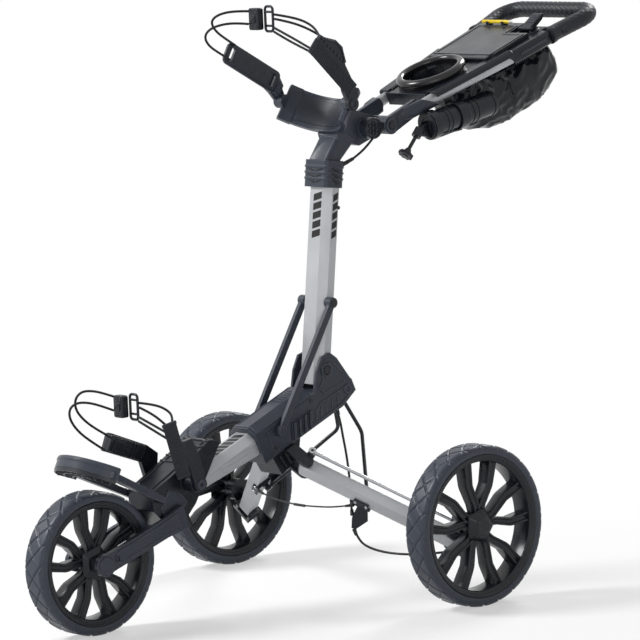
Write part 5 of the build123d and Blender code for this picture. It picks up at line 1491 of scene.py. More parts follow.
@dataclass
class Chassis(Assembly):
    """Front tube, folding housing, rear legs and the fittings of the brake cables."""

    side: float = 34.5
    tube_top: float = 16.5
    stripe_count: int = 10
    stripe_pitch: float = 12.5
    stripe_length: float = 9.6
    stripe_slant: float = 5
    stripe_half: float = 12
    stripe_first: float = -62

    def build(self) -> None:
        """Make the chassis's pieces in order."""
        self._stripes()
        self._tube_lines()
        self._housing()
        self._hood()
        self._legs()
        self._cable_ends()

    def _stripes(self) -> None:
        """Lay a row of slanted stripes on the front tube's top."""
        shape = Form()
        for index in range(self.stripe_count):
            start = self.stripe_first + self.stripe_pitch * index
            corners = [
                (start, -self.stripe_half), (start + self.stripe_length, -self.stripe_half),
                (start + self.stripe_length + self.stripe_slant, self.stripe_half),
                (start + self.stripe_slant, self.stripe_half),
            ]
            outline = [self.plan.spine(along, self.tube_top - 0.1, x) for along, x in corners]
            shape.slab(outline, self.plan.spine_up() * 0.5 * MM)
        self.shop.piece(shape, "tube_stripes", "frame", Finishes.DARK_PRINT_AND_SHADE)

    def _tube_lines(self) -> None:
        """Raise the drawn ridges along the front tube's sides."""
        shape = Form()
        for hand in (-1, 1):
            for up in (-1.5, -9.5):
                shape.rib(self.plan.spine, (-20, up, hand * 28.9), (70, up - 5, hand * 28.9), ACROSS * hand, 4, 0.9)
        self.shop.piece(shape, "tube_side_ridges", "frame", Finishes.SILVER)

    def _housing(self) -> None:
        """Frame the housing's ears, flanks and nose, ring its bolts, rib it and screw its castings."""
        shape = Form()
        pivot = self.plan.pivot("mast_fold")
        ear = [(240, 16), (256, 26), (262, 48), (277, 56), (290, 48), (304, 12), (300, -4), (246, 0)]
        flank = [(208, -40), (276, -40), (306, -30), (308, -12), (232, -10), (214, -18)]
        nose = [(96, -40), (138, -40), (150, -12), (140, 4), (96, 4)]
        for hand in (-1, 1):
            out = ACROSS * hand
            for outline, rim, sink in ((ear, 2.4, 0.8), (flank, 3, 1), (nose, 2.2, 0.7)):
                corners = [self.plan.spine(along, up, hand * (self.side - 0.2)) for along, up in outline]
                shape.panel(corners, out * 1.3 * MM, rim, sink)
            shape.washer(Vector((hand * self.side * MM, pivot.y, pivot.z)), out, 8.6, 13, 3.2)
            tail = self.plan.spine(300, -20, hand * (self.side - 0.2))
            shape.washer(tail, out, 4.6, 9, 2.2)
            for step in range(4):
                shape.rib(
                    self.plan.spine, (222 + 15 * step, -35, hand * self.side),
                    (230 + 15 * step, -17, hand * self.side), out, 3, 0.9,
                )
        self.shop.piece(shape, "housing_panels", "frame", Finishes.CHARCOAL)
        for hand, name in ((1, "left"), (-1, "right")):
            places = [self.plan.spine(along, up, 0) for along, up in ((104, -32), (201, -34), (214, 4))]
            Fasteners(self.shop).add(
                f"housing_screws_{name}", "frame", f"casting_{name}", places, ACROSS * hand, 4.2, 1.3,
            )

    def _hood(self) -> None:
        """Rib the hood's front lip and set vents on its roof."""
        shape = Form()
        up = self.plan.spine_up()
        for hand in (-1, 1):
            shape.rib(self.plan.spine, (74, 26.8, hand * 17.5), (214, 26.8, hand * 17.5), up, 2.6, 1)
        for step in range(6):
            along = 170 + 7 * step
            shape.rib(self.plan.spine, (along, 26.8, -11), (along, 26.8, 11), up, 2.6, 1.2)
        lip = [self.plan.spine(76, height, x) for x, height in ((-20, 27), (20, 27), (35.2, 15.2))]
        for start, end in zip(lip, lip[1:]):
            shape.bar(start, end, ((start + end) / 2 - self.plan.spine(76, 0)).normalized(), 4, 1)
        self.shop.piece(shape, "hood_ribs", "frame", Finishes.CHARCOAL)

    def _legs(self) -> None:
        """Set ribs on the leg bracket and screws on the clamps."""
        ribs = Form()
        for hand in (-1, 1):
            for step in range(4):
                ribs.rib(
                    self.plan.spine, (106 + 13 * step, -50, hand * 29.8), (112 + 11 * step, -76, hand * 29.8),
                    ACROSS * hand, 3.6, 4.5,
                )
        self.shop.piece(ribs, "leg_bracket_ribs", "frame", Finishes.FITTING)
        for hand, name in ((1, "left"), (-1, "right")):
            clamp = Form()
            for along in (112, 134):
                for across in (-1, 1):
                    seat = self.plan.leg(along, across * 15.4, -10.5, hand)
                    outward = (self.plan.leg(along, across * 16.4, -10.5, hand) - seat).normalized()
                    clamp.screw(seat, outward, 3, 1.2)
            self.shop.piece(clamp, f"{name}_clamp_screws", f"{name}_leg", Finishes.STEEL)

    def _cable_ends(self) -> None:
        """Sleeve the cables where they enter the frame and join the cross cable's halves."""
        sleeves = (
            ("frame_cable_sleeve", "frame", (14, -27, 336), (19, -26.4, 321), 4.2, 3.1),
            ("clamp_cable_sleeve", "left_leg", (130.4, -98.3, 156), (124.3, -94.1, 164), 4.2, 3.1),
            ("hub_cable_sleeve", "left_leg", (133.4, -98.4, 130.6), (139, -98, 119), 4, 3),
            ("cross_cable_sleeve_left", "left_leg", (135, -98.3, 174.8), (116, -102.4, 171.2), 3.4, 2.2),
            ("cross_cable_sleeve_right", "right_leg", (-135, -98.3, 174.8), (-116, -102.4, 171.2), 3.4, 2.2),
            ("cross_cable_crimp", "frame", (-15, -113.5, 163.2), (15, -113.5, 163.2), 2.6, 2.6),
            ("mast_cable_sleeve", "mast", (24, -8, 778), (36.5, 20, 792.4), 4.4, 3.2),
        )
        for name, body, start, end, radius, tip in sleeves:
            shape = Form()
            shape.rod(self.plan.place(*start), self.plan.place(*end), radius, tip, 20, 0.5)
            self.shop.piece(shape, name, body, Finishes.FITTING)


@dataclass
class MastSet(Assembly):
    """Mast stripes, its button and collar trim, and the neck's disc of cells."""

    front: float = -16
    side: float = 29
    stripe_count: int = 5
    stripe_first: float = 240
    stripe_pitch: float = 17
    stripe_height: float = 12.5
    stripe_slant: float = 6
    disc_radius: float = 20
    disc_face: float = 46
    cell: float = 4.6

    def build(self) -> None:
        """Make the mast's pieces in order."""
        self._stripes()
        self._trim()
        self._disc()

    def _stripes(self) -> None:
        """Lay equal slanted stripes on the mast's flat and its left side."""
        shape = Form()
        for index in range(self.stripe_count):
            low = self.stripe_first + self.stripe_pitch * index
            rise = (
                (low, -1), (low + self.stripe_height, -1), (low + self.stripe_height + self.stripe_slant, 1),
                (low + self.stripe_slant, 1),
            )
            flat = [self.plan.mast(along, self.front + 0.1, 4.5 + share * 11) for along, share in rise]
            shape.slab(flat, self.plan.mast_front() * 0.5 * MM)
            beside = [self.plan.mast(along, 6 + share * 5.5, self.side - 0.1) for along, share in rise]
            shape.slab(beside, ACROSS * 0.5 * MM)
        self.shop.piece(shape, "mast_stripes", "mast", Finishes.DARK_PRINT_AND_SHADE)

    def _trim(self) -> None:
        """Set the lock button, the collar's chevrons and screw, and the strut bosses' rings."""
        button = Form()
        seat = self.plan.mast(298, 14.4, self.side)
        button.washer(seat, ACROSS, 2, 3.4, 0.8)
        button.rod(seat, seat + ACROSS * 1.2 * MM, 2, 1.7, 20, 0.3)
        self.shop.piece(button, "mast_button", "mast", Finishes.DARK_STEEL)
        ribs = Form()
        for step in range(3):
            low = 343 + 10 * step
            for hand in (-1, 1):
                ribs.rib(
                    self.plan.mast, (low, -21.8, 2 * hand), (low + 7, -21.8, 21 * hand), self.plan.mast_front(), 4,
                    1.2,
                )
                ribs.rib(self.plan.mast, (low + 7, -9, 34.2 * hand), (low, 9, 34.2 * hand), ACROSS * hand, 4, 1.2)
        self.shop.piece(ribs, "collar_chevrons", "mast", Finishes.FITTING)
        place = self.plan.mast(342.5, 4)
        Fasteners(self.shop).add("collar_screws", "mast", "mast_collar", [place], ACROSS, 4, 1.2)
        caps = Form()
        top = self.plan.mast(124, 0)
        for hand in (-1, 1):
            caps.washer(top + ACROSS * hand * 44.2 * MM, ACROSS * hand, 6, 9.6, 2)
        self.shop.piece(caps, "strut_top_rings", "mast", Finishes.CHARCOAL)

    def _disc(self) -> None:
        """Ring the neck's disc and fill it with six-sided cells on both sides."""
        shape = Form()
        pivot = self.plan.pivot("handle_fold")
        centre = Vector((0, pivot.y - 36 * MM, pivot.z - 3 * MM))
        for hand in (-1, 1):
            out = ACROSS * hand
            face = centre + out * self.disc_face * MM
            shape.washer(face, out, self.disc_radius - 3.4, self.disc_radius - 0.2, 2.6, 40)
            shape.washer(face, out, self.cell - 1, self.cell, 2, 6)
            for step in range(6):
                turn = math.tau * (step + 0.5) / 6
                spot = face + Vector((0, math.cos(turn), math.sin(turn))) * self.cell * 2 * MM
                shape.washer(spot, out, self.cell - 1, self.cell, 2, 6)
        self.shop.piece(shape, "neck_disc_cells", "mast", Finishes.FITTING)


@dataclass
class UpperCradle(Assembly):
    """Yoke trim, the right arm's moulded pad, the left arm's strap and the upper buckle."""

    right_tilt: float = 30
    left_tilt: float = 41
    pad_start: float = 28
    pad_end: float = 166
    pad_low: float = 1
    pad_high: float = 43
    pad_inner: float = -88
    pad_outer: float = -94.5
    pad_corner: float = 11
    slot_inset: float = 15
    slot_width: float = 9
    slot_margin: float = 8
    yoke_radius: float = 101
    yoke_half: float = 33
    yoke_spread: float = 58

    def build(self) -> None:
        """Make the cradle's pieces in order."""
        self._pad()
        self._arm_root()
        self._strap()
        self._yoke()

    def _pad_point(self, along: float, up: float, x: float) -> Vector:
        """A point on the right pad, along it and above its low edge."""
        return self.plan.arm(self.right_tilt, along, up, x)

    def _plate(self, along: Pair, up: Pair, x: float) -> list[Vector]:
        """Corners of an upright field on the right pad."""
        return [self._pad_point(along[i], up[j], x) for i, j in ((0, 0), (1, 0), (1, 1), (0, 1))]

    def _pad(self) -> None:
        """Make the right pad with round corners, two strap slots and a chevron relief."""
        body = Form()
        depth = ACROSS * (self.pad_inner - self.pad_outer) * MM
        outline = self._plate((self.pad_start, self.pad_end), (self.pad_low, self.pad_high), self.pad_outer)
        body.slab(outline, depth, 2.2, 4, self.pad_corner)
        tool = Form()
        for along in (self.pad_start + self.slot_inset, self.pad_end - self.slot_inset):
            span = (along - self.slot_width / 2, along + self.slot_width / 2)
            rise = (self.pad_low + self.slot_margin, self.pad_high - self.slot_margin)
            tool.slab(self._plate(span, rise, self.pad_outer - 5), depth + ACROSS * 10 * MM, 0.5, 1, 3)
        pad = self.shop.cut(body, tool)
        face = self.pad_inner - 0.3
        middle = (self.pad_low + self.pad_high) / 2
        for step in range(3):
            tip = self._pad_point(66 + 22 * step, middle, face)
            for side in (-1, 1):
                end = self._pad_point(80 + 22 * step, middle + side * 14, face)
                pad.bar(tip, end, ACROSS, 2.6, 1.3)
        for along in (self.pad_start + self.slot_inset, self.pad_end - self.slot_inset):
            for side in (-1, 1):
                place = along + side * 7.4
                start, end = (self._pad_point(place, up, face) for up in (self.pad_low + 6, self.pad_high - 6))
                pad.bar(start, end, ACROSS, 2.2, 1.2)
        self.shop.piece(pad, "upper_right_pad", "upper_right_arm", Finishes.PAD, ("upper_arm_right",))
        back = Form()
        outline = self._plate((56, 138), (self.pad_low + 6, self.pad_high - 6), self.pad_outer + 0.2)
        back.panel(outline, ACROSS * -6 * MM, 3, 1.5)
        self.shop.piece(back, "upper_right_pad_back", "upper_right_arm", Finishes.FITTING)

    def _arm_root(self) -> None:
        """Make the hinge arm and clip block that carry the right pad."""
        shape = Form()
        hinge = self._pad_point(0, 0, 0)
        inner, outer = -97.2, -105.7
        shape.rod(hinge + ACROSS * inner * MM, hinge + ACROSS * outer * MM, 13, None, 32, 1)
        web = [(-5.5, -11), (30, 2), (44, 5), (44, 38), (30, 40), (-5.5, 11)]
        shape.slab([self._pad_point(a, u, outer) for a, u in web], ACROSS * (inner - outer) * MM, 1.2, 2)
        joint = [(24, 7), (34, 7), (34, 37), (24, 33)]
        shape.slab([self._pad_point(a, u, inner - 1) for a, u in joint], ACROSS * 4.5 * MM, 1, 2)
        clip = [(12, 2), (27, 5), (27, 36), (12, 26)]
        shape.slab([self._pad_point(a, u, inner - 0.5) for a, u in clip], ACROSS * 6 * MM, 1.2, 2)
        for step in range(3):
            shape.rib(
                self._pad_point, (15 + 4 * step, 8, inner + 5.3), (15 + 4 * step, 26 + 2 * step, inner + 5.3), ACROSS,
                2, 1.2,
            )
        shape.washer(hinge + ACROSS * outer * MM, -ACROSS, 4.4, 8.5, 1.4)
        self.shop.piece(shape, "upper_right_arm_root", "upper_right_arm", Finishes.CHARCOAL)

    def _strap(self) -> None:
        """Make the left arm's strap, its rail and teeth, and the buckle."""
        def place(along: float, up: float, x: float) -> Vector:
            """A point on the left arm."""
            return self.plan.arm(self.left_tilt, along, up, x)

        corners = [place(along, up, 106.1) for along, up in ((16, 2), (16, 32), (142, 40), (142, 10))]
        Strap(self.shop).build("upper_strap", "upper_left_arm", corners, "upper_webbing")
        rail = Form()
        for start, end in (((62, 47), (86, 63)), ((86, 63), (104, 63)), ((104, 63), (134, 47))):
            rail.bar(place(*start, 105.7), place(*end, 105.7), ACROSS, 4, 1.8)
        for step in range(7):
            along = 66 + 9.5 * step
            rail.bar(place(along, 44, 105.7), place(along, 49, 105.7), ACROSS, 3, 1.6)
        inner = [(46, 18), (130, 18), (130, 46), (104, 60), (86, 60), (62, 42)]
        rail.panel([place(along, up, 97.1) for along, up in inner], ACROSS * -1.3 * MM, 3, 0.9)
        hinge = place(0, 0, 105.9)
        rail.washer(hinge, ACROSS, 4.4, 9.5, 1.6)
        self.shop.piece(rail, "upper_left_arm_ribs", "upper_left_arm", Finishes.FITTING)
        hinge = self.plan.pivot("upper_right_arm_turn")
        centre = Vector((-1 * MM, hinge.y - 120.9 * MM, hinge.z + 160.5 * MM))
        Buckle(self.shop).build("upper_clasp", "upper_right_arm", centre, "upper_buckle")

    def _yoke_point(self, reach: float, degrees: float, up: float) -> Vector:
        """A point on the yoke, out from the golf bag's axis, round from its back and along the axis."""
        turn = math.radians(degrees)
        return self.plan.bag(reach * math.cos(turn), up, reach * math.sin(turn))

    def _band(self, shape: Form, reach: Pair, rise: Pair, start: float, angle: float, steps: int) -> None:
        """Sweep a box round the golf bag's axis, from right to left.

        Args:
            shape: the shape to add to.
            reach: how far the box's inside and outside lie from the axis, in millimetres.
            rise: where its low and high sides lie along the axis.
            start: where the sweep starts, in degrees round from the back.
            angle: how far it goes, in degrees.
            steps: steps in the sweep.
        """
        section = [(reach[0], rise[0]), (reach[1], rise[0]), (reach[1], rise[1]), (reach[0], rise[1])]
        profile = [self._yoke_point(out, start, up) for out, up in section]
        centre = self._yoke_point(0, 0, 0)
        shape.arc(profile, centre, (centre - self._yoke_point(0, 0, 1)).normalized(), angle, steps)

    def _yoke(self) -> None:
        """Bead the yoke's rims, line its inside and clamp its ends."""
        shape = Form()
        radius, half, spread = self.yoke_radius, self.yoke_half, self.yoke_spread
        rim = (radius - 1, radius + 9.2)
        bands = [
            (rim, (half - 3, half + 1), -spread, 2 * spread, 40),
            (rim, (-half - 1, -half + 3), -spread, 2 * spread, 40),
            *(((99.6, 111.5), (-35, 35), start, 14, 8) for start in (-59.5, 45.5)),
            *(((108.6, 110.4), (-28, 28), start, 2, 3) for start in (-44, -30, 28, 42)),
        ]
        for band in bands:
            self._band(shape, *band)
        self.shop.piece(shape, "yoke_beads_and_clamps", "mast", Finishes.CHARCOAL, (), 25)
        lining = Form()
        self._band(lining, (98.8, 101.3), (-24, 24), -42, 84, 40)
        self.shop.piece(lining, "yoke_lining", "mast", Finishes.PAD, (), 25)


@dataclass
class Console(Assembly):
    """Handle loop with its grip pattern, rail covers, cup ring, lid panel, pencil and deck trim."""

    grip_radius: float = 15.5
    grip_along: float = 507
    grip_half: float = 125
    grip_lift: float = 5
    grip_corner: float = 36
    loop_start: float = 386.3
    loop_start_x: float = 103
    loop_knee: float = 24
    loop_flare: float = 1.43
    grip_step: float = 1.9
    grip_sides: int = 48
    diamond: float = 13
    groove: float = 1.1
    deck: float = 17
    lid_top: float = 25.3
    cup_along: float = 172
    pencil_along: float = 391
    pencil_length: float = 84
    pencil_radius: float = 3.6

    def build(self) -> None:
        """Make the handle's pieces in order."""
        self._loop()
        self._sleeves()
        self._cup()
        self._lid()
        self._pencil()
        self._deck()
        self._knuckles()

    def _loop(self) -> None:
        """Sweep the grip loop and press a diamond pattern into it."""
        knee = (self.loop_start + self.loop_knee, self.loop_start_x + self.loop_flare)
        corners = [(self.loop_start, self.loop_start_x), knee, (self.grip_along, self.grip_half)]
        stations = corners + [(along, -x) for along, x in reversed(corners)]
        points = [self.plan.handle(along, self.grip_lift, x) for along, x in stations]
        path = Form.rounded(points, self.grip_corner, self.grip_step)
        rings = Form.tube_rings(path, self.grip_radius, self.grip_sides)
        walked = 0
        total = sum((end - start).length for start, end in zip(path, path[1:])) / MM
        around = round(math.tau * self.grip_radius / self.diamond)
        for index, (middle, ring) in enumerate(zip(path, rings)):
            walked += (middle - path[max(0, index - 1)]).length / MM
            share = min(1, max(0, (min(walked, total - walked) - 44) / 8))
            for side, point in enumerate(ring):
                turn = side / self.grip_sides * around
                gap = min(abs((turn + hand * walked / self.diamond) % 1 - 0.5) for hand in (-1, 1)) * self.diamond
                sink = self.groove * share * max(0, 1 - gap / 1.5)
                ring[side] = point + (middle - point).normalized() * sink * MM
        shape = Form()
        shape.loft(rings)
        self.shop.piece(shape, "grip_loop", "handle", Finishes.GRIP, ("handle_loop",), 50)
        collars = Form()
        for hand in (-1, 1):
            start = self.plan.handle(self.loop_start + 2, self.grip_lift, hand * 103.1)
            end = self.plan.handle(self.loop_start + 12, self.grip_lift, hand * 103.7)
            collars.washer(start, end - start, 14, 16.8, 9, 40)
            seat = self.plan.handle(self.loop_start + 30, self.grip_lift, hand * (105.6 + self.grip_radius - 0.6))
            collars.washer(seat, ACROSS * hand, 4.2, 7.6, 1.8)
            collars.screw(seat, ACROSS * hand, 4, 1.4)
        self.shop.piece(collars, "grip_collars", "handle", Finishes.FITTING)

    def _sleeves(self) -> None:
        """Cover the rails: sleeves and lips in front, then skirts that start on a slant."""
        self._covers()
        shape = Form()
        stations = [(272, 290, 95.6), (300, 312, 97.6), (346, 348, 100.4), (384, 384, 102.7)]
        for hand in (-1, 1):
            rings = []
            for top, bottom, x in stations:
                corners = [
                    (top, 18, -9.6), (top, 18, 5), (top + 2, 12.5, 9.6), (bottom, -5, 9.6), (bottom, -9, 5.5),
                    (bottom, -9, -9.6),
                ]
                rings.append([self.plan.handle(along, up, hand * (x + out)) for along, up, out in corners])
            shape.loft(rings)
        shape.ease(0.3, 1.4, 3)
        self.shop.piece(shape, "rail_skirts", "handle", Finishes.BLACK)
        lips = Form()
        for hand in (-1, 1):
            lips.rib(self.plan.handle, (304, 6, hand * 107.4), (372, 6, hand * 111.4), ACROSS * hand, 5, 1.4)
        self.shop.piece(lips, "rail_skirt_ribs", "handle", Finishes.CHARCOAL)

    def _covers(self) -> None:
        """Sleeve the rails' front ends and lap the deck's side lips over the rails."""
        sleeves = Form()
        lips = Form()
        for hand in (-1, 1):
            rings = []
            for along, x, wide, tall in ((26, 50, 5, 11), (50, 61, 9.6, 13.4), (92, 68.9, 9.8, 13.2)):
                ring = []
                for step in range(20):
                    turn = math.tau * step / 20
                    up = 5 + tall * math.sin(turn)
                    lag = (5 - up) * 1.3 if along > 60 else 0
                    ring.append(self.plan.handle(along + lag, up, hand * (x + wide * math.cos(turn) + lag * 0.15)))
                rings.append(ring)
            sleeves.loft(rings)
            rings = []
            for along, x in ((104, 70.6), (172, 80.5), (240, 90.4), (288, 97)):
                section = [
                    (-17, 15.8), (-17, 19.6), (3.5, 20.8), (9.2, 16.8), (10, 9), (8.4, 9), (7.2, 14), (2, 16.6),
                ]
                rings.append([self.plan.handle(along, up, hand * (x + out)) for out, up in section])
            lips.loft(rings)
        self.shop.piece(sleeves, "rail_front_sleeves", "handle", Finishes.CHARCOAL, (), 50)
        self.shop.piece(lips, "deck_side_lips", "handle", Finishes.BLACK, (), 25)

    def _cup(self) -> None:
        """Turn the cup ring with a soft rolled lip and set four tabs in it."""
        centre = self.plan.handle(self.cup_along, 0)
        up = self.plan.handle_up()
        section = [
            (52.2, 17.1), (52.2, 29), (53, 32.6), (55.4, 35.2), (58.6, 36), (62.6, 35.3), (66, 32.6), (67.8, 28.6),
            (67.9, 24.5), (66.6, 22.4), (66.6, 17.1),
        ]
        shape = Form()
        shape.turned([centre + (ACROSS * r + up * k) * MM for r, k in section], centre, up, 96)
        self.shop.piece(shape, "cup_ring", "handle", Finishes.CUP, ("cup_holder",), 40)
        tabs = Form()
        along = (self.plan.handle(1, 0) - self.plan.handle(0, 0)).normalized()
        for step in range(4):
            turn = math.radians(45 + 90 * step)
            out = ACROSS * math.cos(turn) + along * math.sin(turn)
            start = centre + (out * 52.6 + up * 20) * MM
            tabs.bar(start, start - out * 11 * MM, up, 18, 2.4)
        self.shop.piece(tabs, "cup_tabs", "handle", Finishes.FITTING)

    def _lid(self) -> None:
        """Frame the lid's top with a sunk field that leaves a corner free, and ridge its hinge."""
        up = self.plan.handle_up()
        frame = [(-78, 256), (78, 256), (79, 264), (79, 350), (27, 350), (27, 386), (-79, 386), (-79, 264)]
        shape = Form()
        shape.panel([self.plan.handle(along, self.lid_top - 0.2, x) for x, along in frame], up * 1.4 * MM, 5, 1)
        self.shop.piece(shape, "lid_panel", "lid", Finishes.CONSOLE)
        ridge = Form()
        for step in range(5):
            along = 252 + 1.8 * step
            ridge.rib(self.plan.handle, (along, self.lid_top - 0.2, -40), (along, self.lid_top - 0.2, 40), up, 1, 0.7)
        self.shop.piece(ridge, "lid_hinge_ridges", "lid", Finishes.FITTING)

    def _pencil(self) -> None:
        """Lay a short pencil in two clips at the lid's rear edge."""
        up = self.plan.handle_up()
        height = self.lid_top + 1 + self.pencil_radius + 1.6
        start = self.plan.handle(self.pencil_along, height, -72)
        end = self.plan.handle(self.pencil_along, height, -72 + self.pencil_length - 9)
        paint = Form()
        paint.rod(start, end, self.pencil_radius, None, 6, 0.4)
        self.shop.piece(paint, "pencil_barrel", "lid", Finishes.PENCIL, (), 20)
        tip = Form()
        tip.rod(end, end + ACROSS * 9 * MM, self.pencil_radius * 0.92, 0.5, 12)
        self.shop.piece(tip, "pencil_tip", "lid", Finishes.PAPER)
        clips = Form()
        for x in (-56, -14):
            foot = self.plan.handle(self.pencil_along, self.lid_top - 0.2, x)
            clips.bar(foot - ACROSS * 4 * MM, foot + ACROSS * 4 * MM, up, 12, 2.6)
            for side in (-1, 1):
                base = self.plan.handle(self.pencil_along + side * (self.pencil_radius + 1.4), self.lid_top, x)
                clips.bar(base - ACROSS * 3 * MM, base + ACROSS * 3 * MM, up, 2, 8.6)
        self.shop.piece(clips, "pencil_clips", "lid", Finishes.FITTING)

    def _deck(self) -> None:
        """Ring the brake lever, rib its top and trim the deck's edges."""
        up = self.plan.handle_up()
        ring = Form()
        ring.washer(self.plan.handle(378, self.deck - 0.2, 58), up, 19.5, 23.5, 2.2, 40)
        for hand in (-1, 1):
            ring.rib(
                self.plan.handle, (112, self.deck - 0.2, hand * 52), (236, self.deck - 0.2, hand * 75), up, 5, 2.4,
            )
            for step in range(4):
                along = 197 + 11 * step
                inner = 68 + 2 * step
                ring.rib(
                    self.plan.handle, (along, self.deck - 0.2, hand * (inner - 6)),
                    (along, self.deck - 0.2, hand * inner), up, 3, 1.4,
                )
        self.shop.piece(ring, "deck_trim", "handle", Finishes.FITTING)
        ribs = Form()
        hinge = self.plan.pivot("brake_lever_turn")
        line = Vector((0, *(self.plan.handle(40, 9.8) - self.plan.handle(0, 0)).yz)).normalized()
        square = Vector((0, -line.z, line.y))
        for step in range(5):
            spot = Vector((58 * MM, hinge.y, hinge.z)) + line * (14 + 4.6 * step) * MM
            seat, _ = self.shop.seat("brake_lever", spot + square * 30 * MM, -square)
            ribs.bar(seat - ACROSS * 10 * MM, seat + ACROSS * 10 * MM, square, 1.8, 1)
        self.shop.piece(ribs, "brake_lever_ribs", "brake", Finishes.CHARCOAL)

    def _knuckles(self) -> None:
        """Ring the handle's pivot and screw the rails into the knuckles."""
        shape = Form()
        pivot = self.plan.pivot("handle_fold")
        for hand in (-1, 1):
            out = ACROSS * hand
            shape.washer(Vector((hand * 55.5 * MM, pivot.y, pivot.z)), out, 8, 13.5, 2.4, 40)
            cheek = [(16, -10), (66, -6), (72, 5), (66, 15), (16, 11)]
            corners = [self.plan.handle(along, up, hand * 55.3) for along, up in cheek]
            shape.panel(corners, out * 1.3 * MM, 2.2, 0.7)
        self.shop.piece(shape, "knuckle_rings", "handle", Finishes.CHARCOAL)
        for hand, name in ((1, "left"), (-1, "right")):
            place = Vector((0, *self.plan.handle(38, 1.5).yz))
            Fasteners(self.shop).add(
                f"knuckle_screw_{name}", "handle", "handle_knuckles", [place + ACROSS * hand * 50 * MM],
                ACROSS * hand, 4.8, 2,
            )


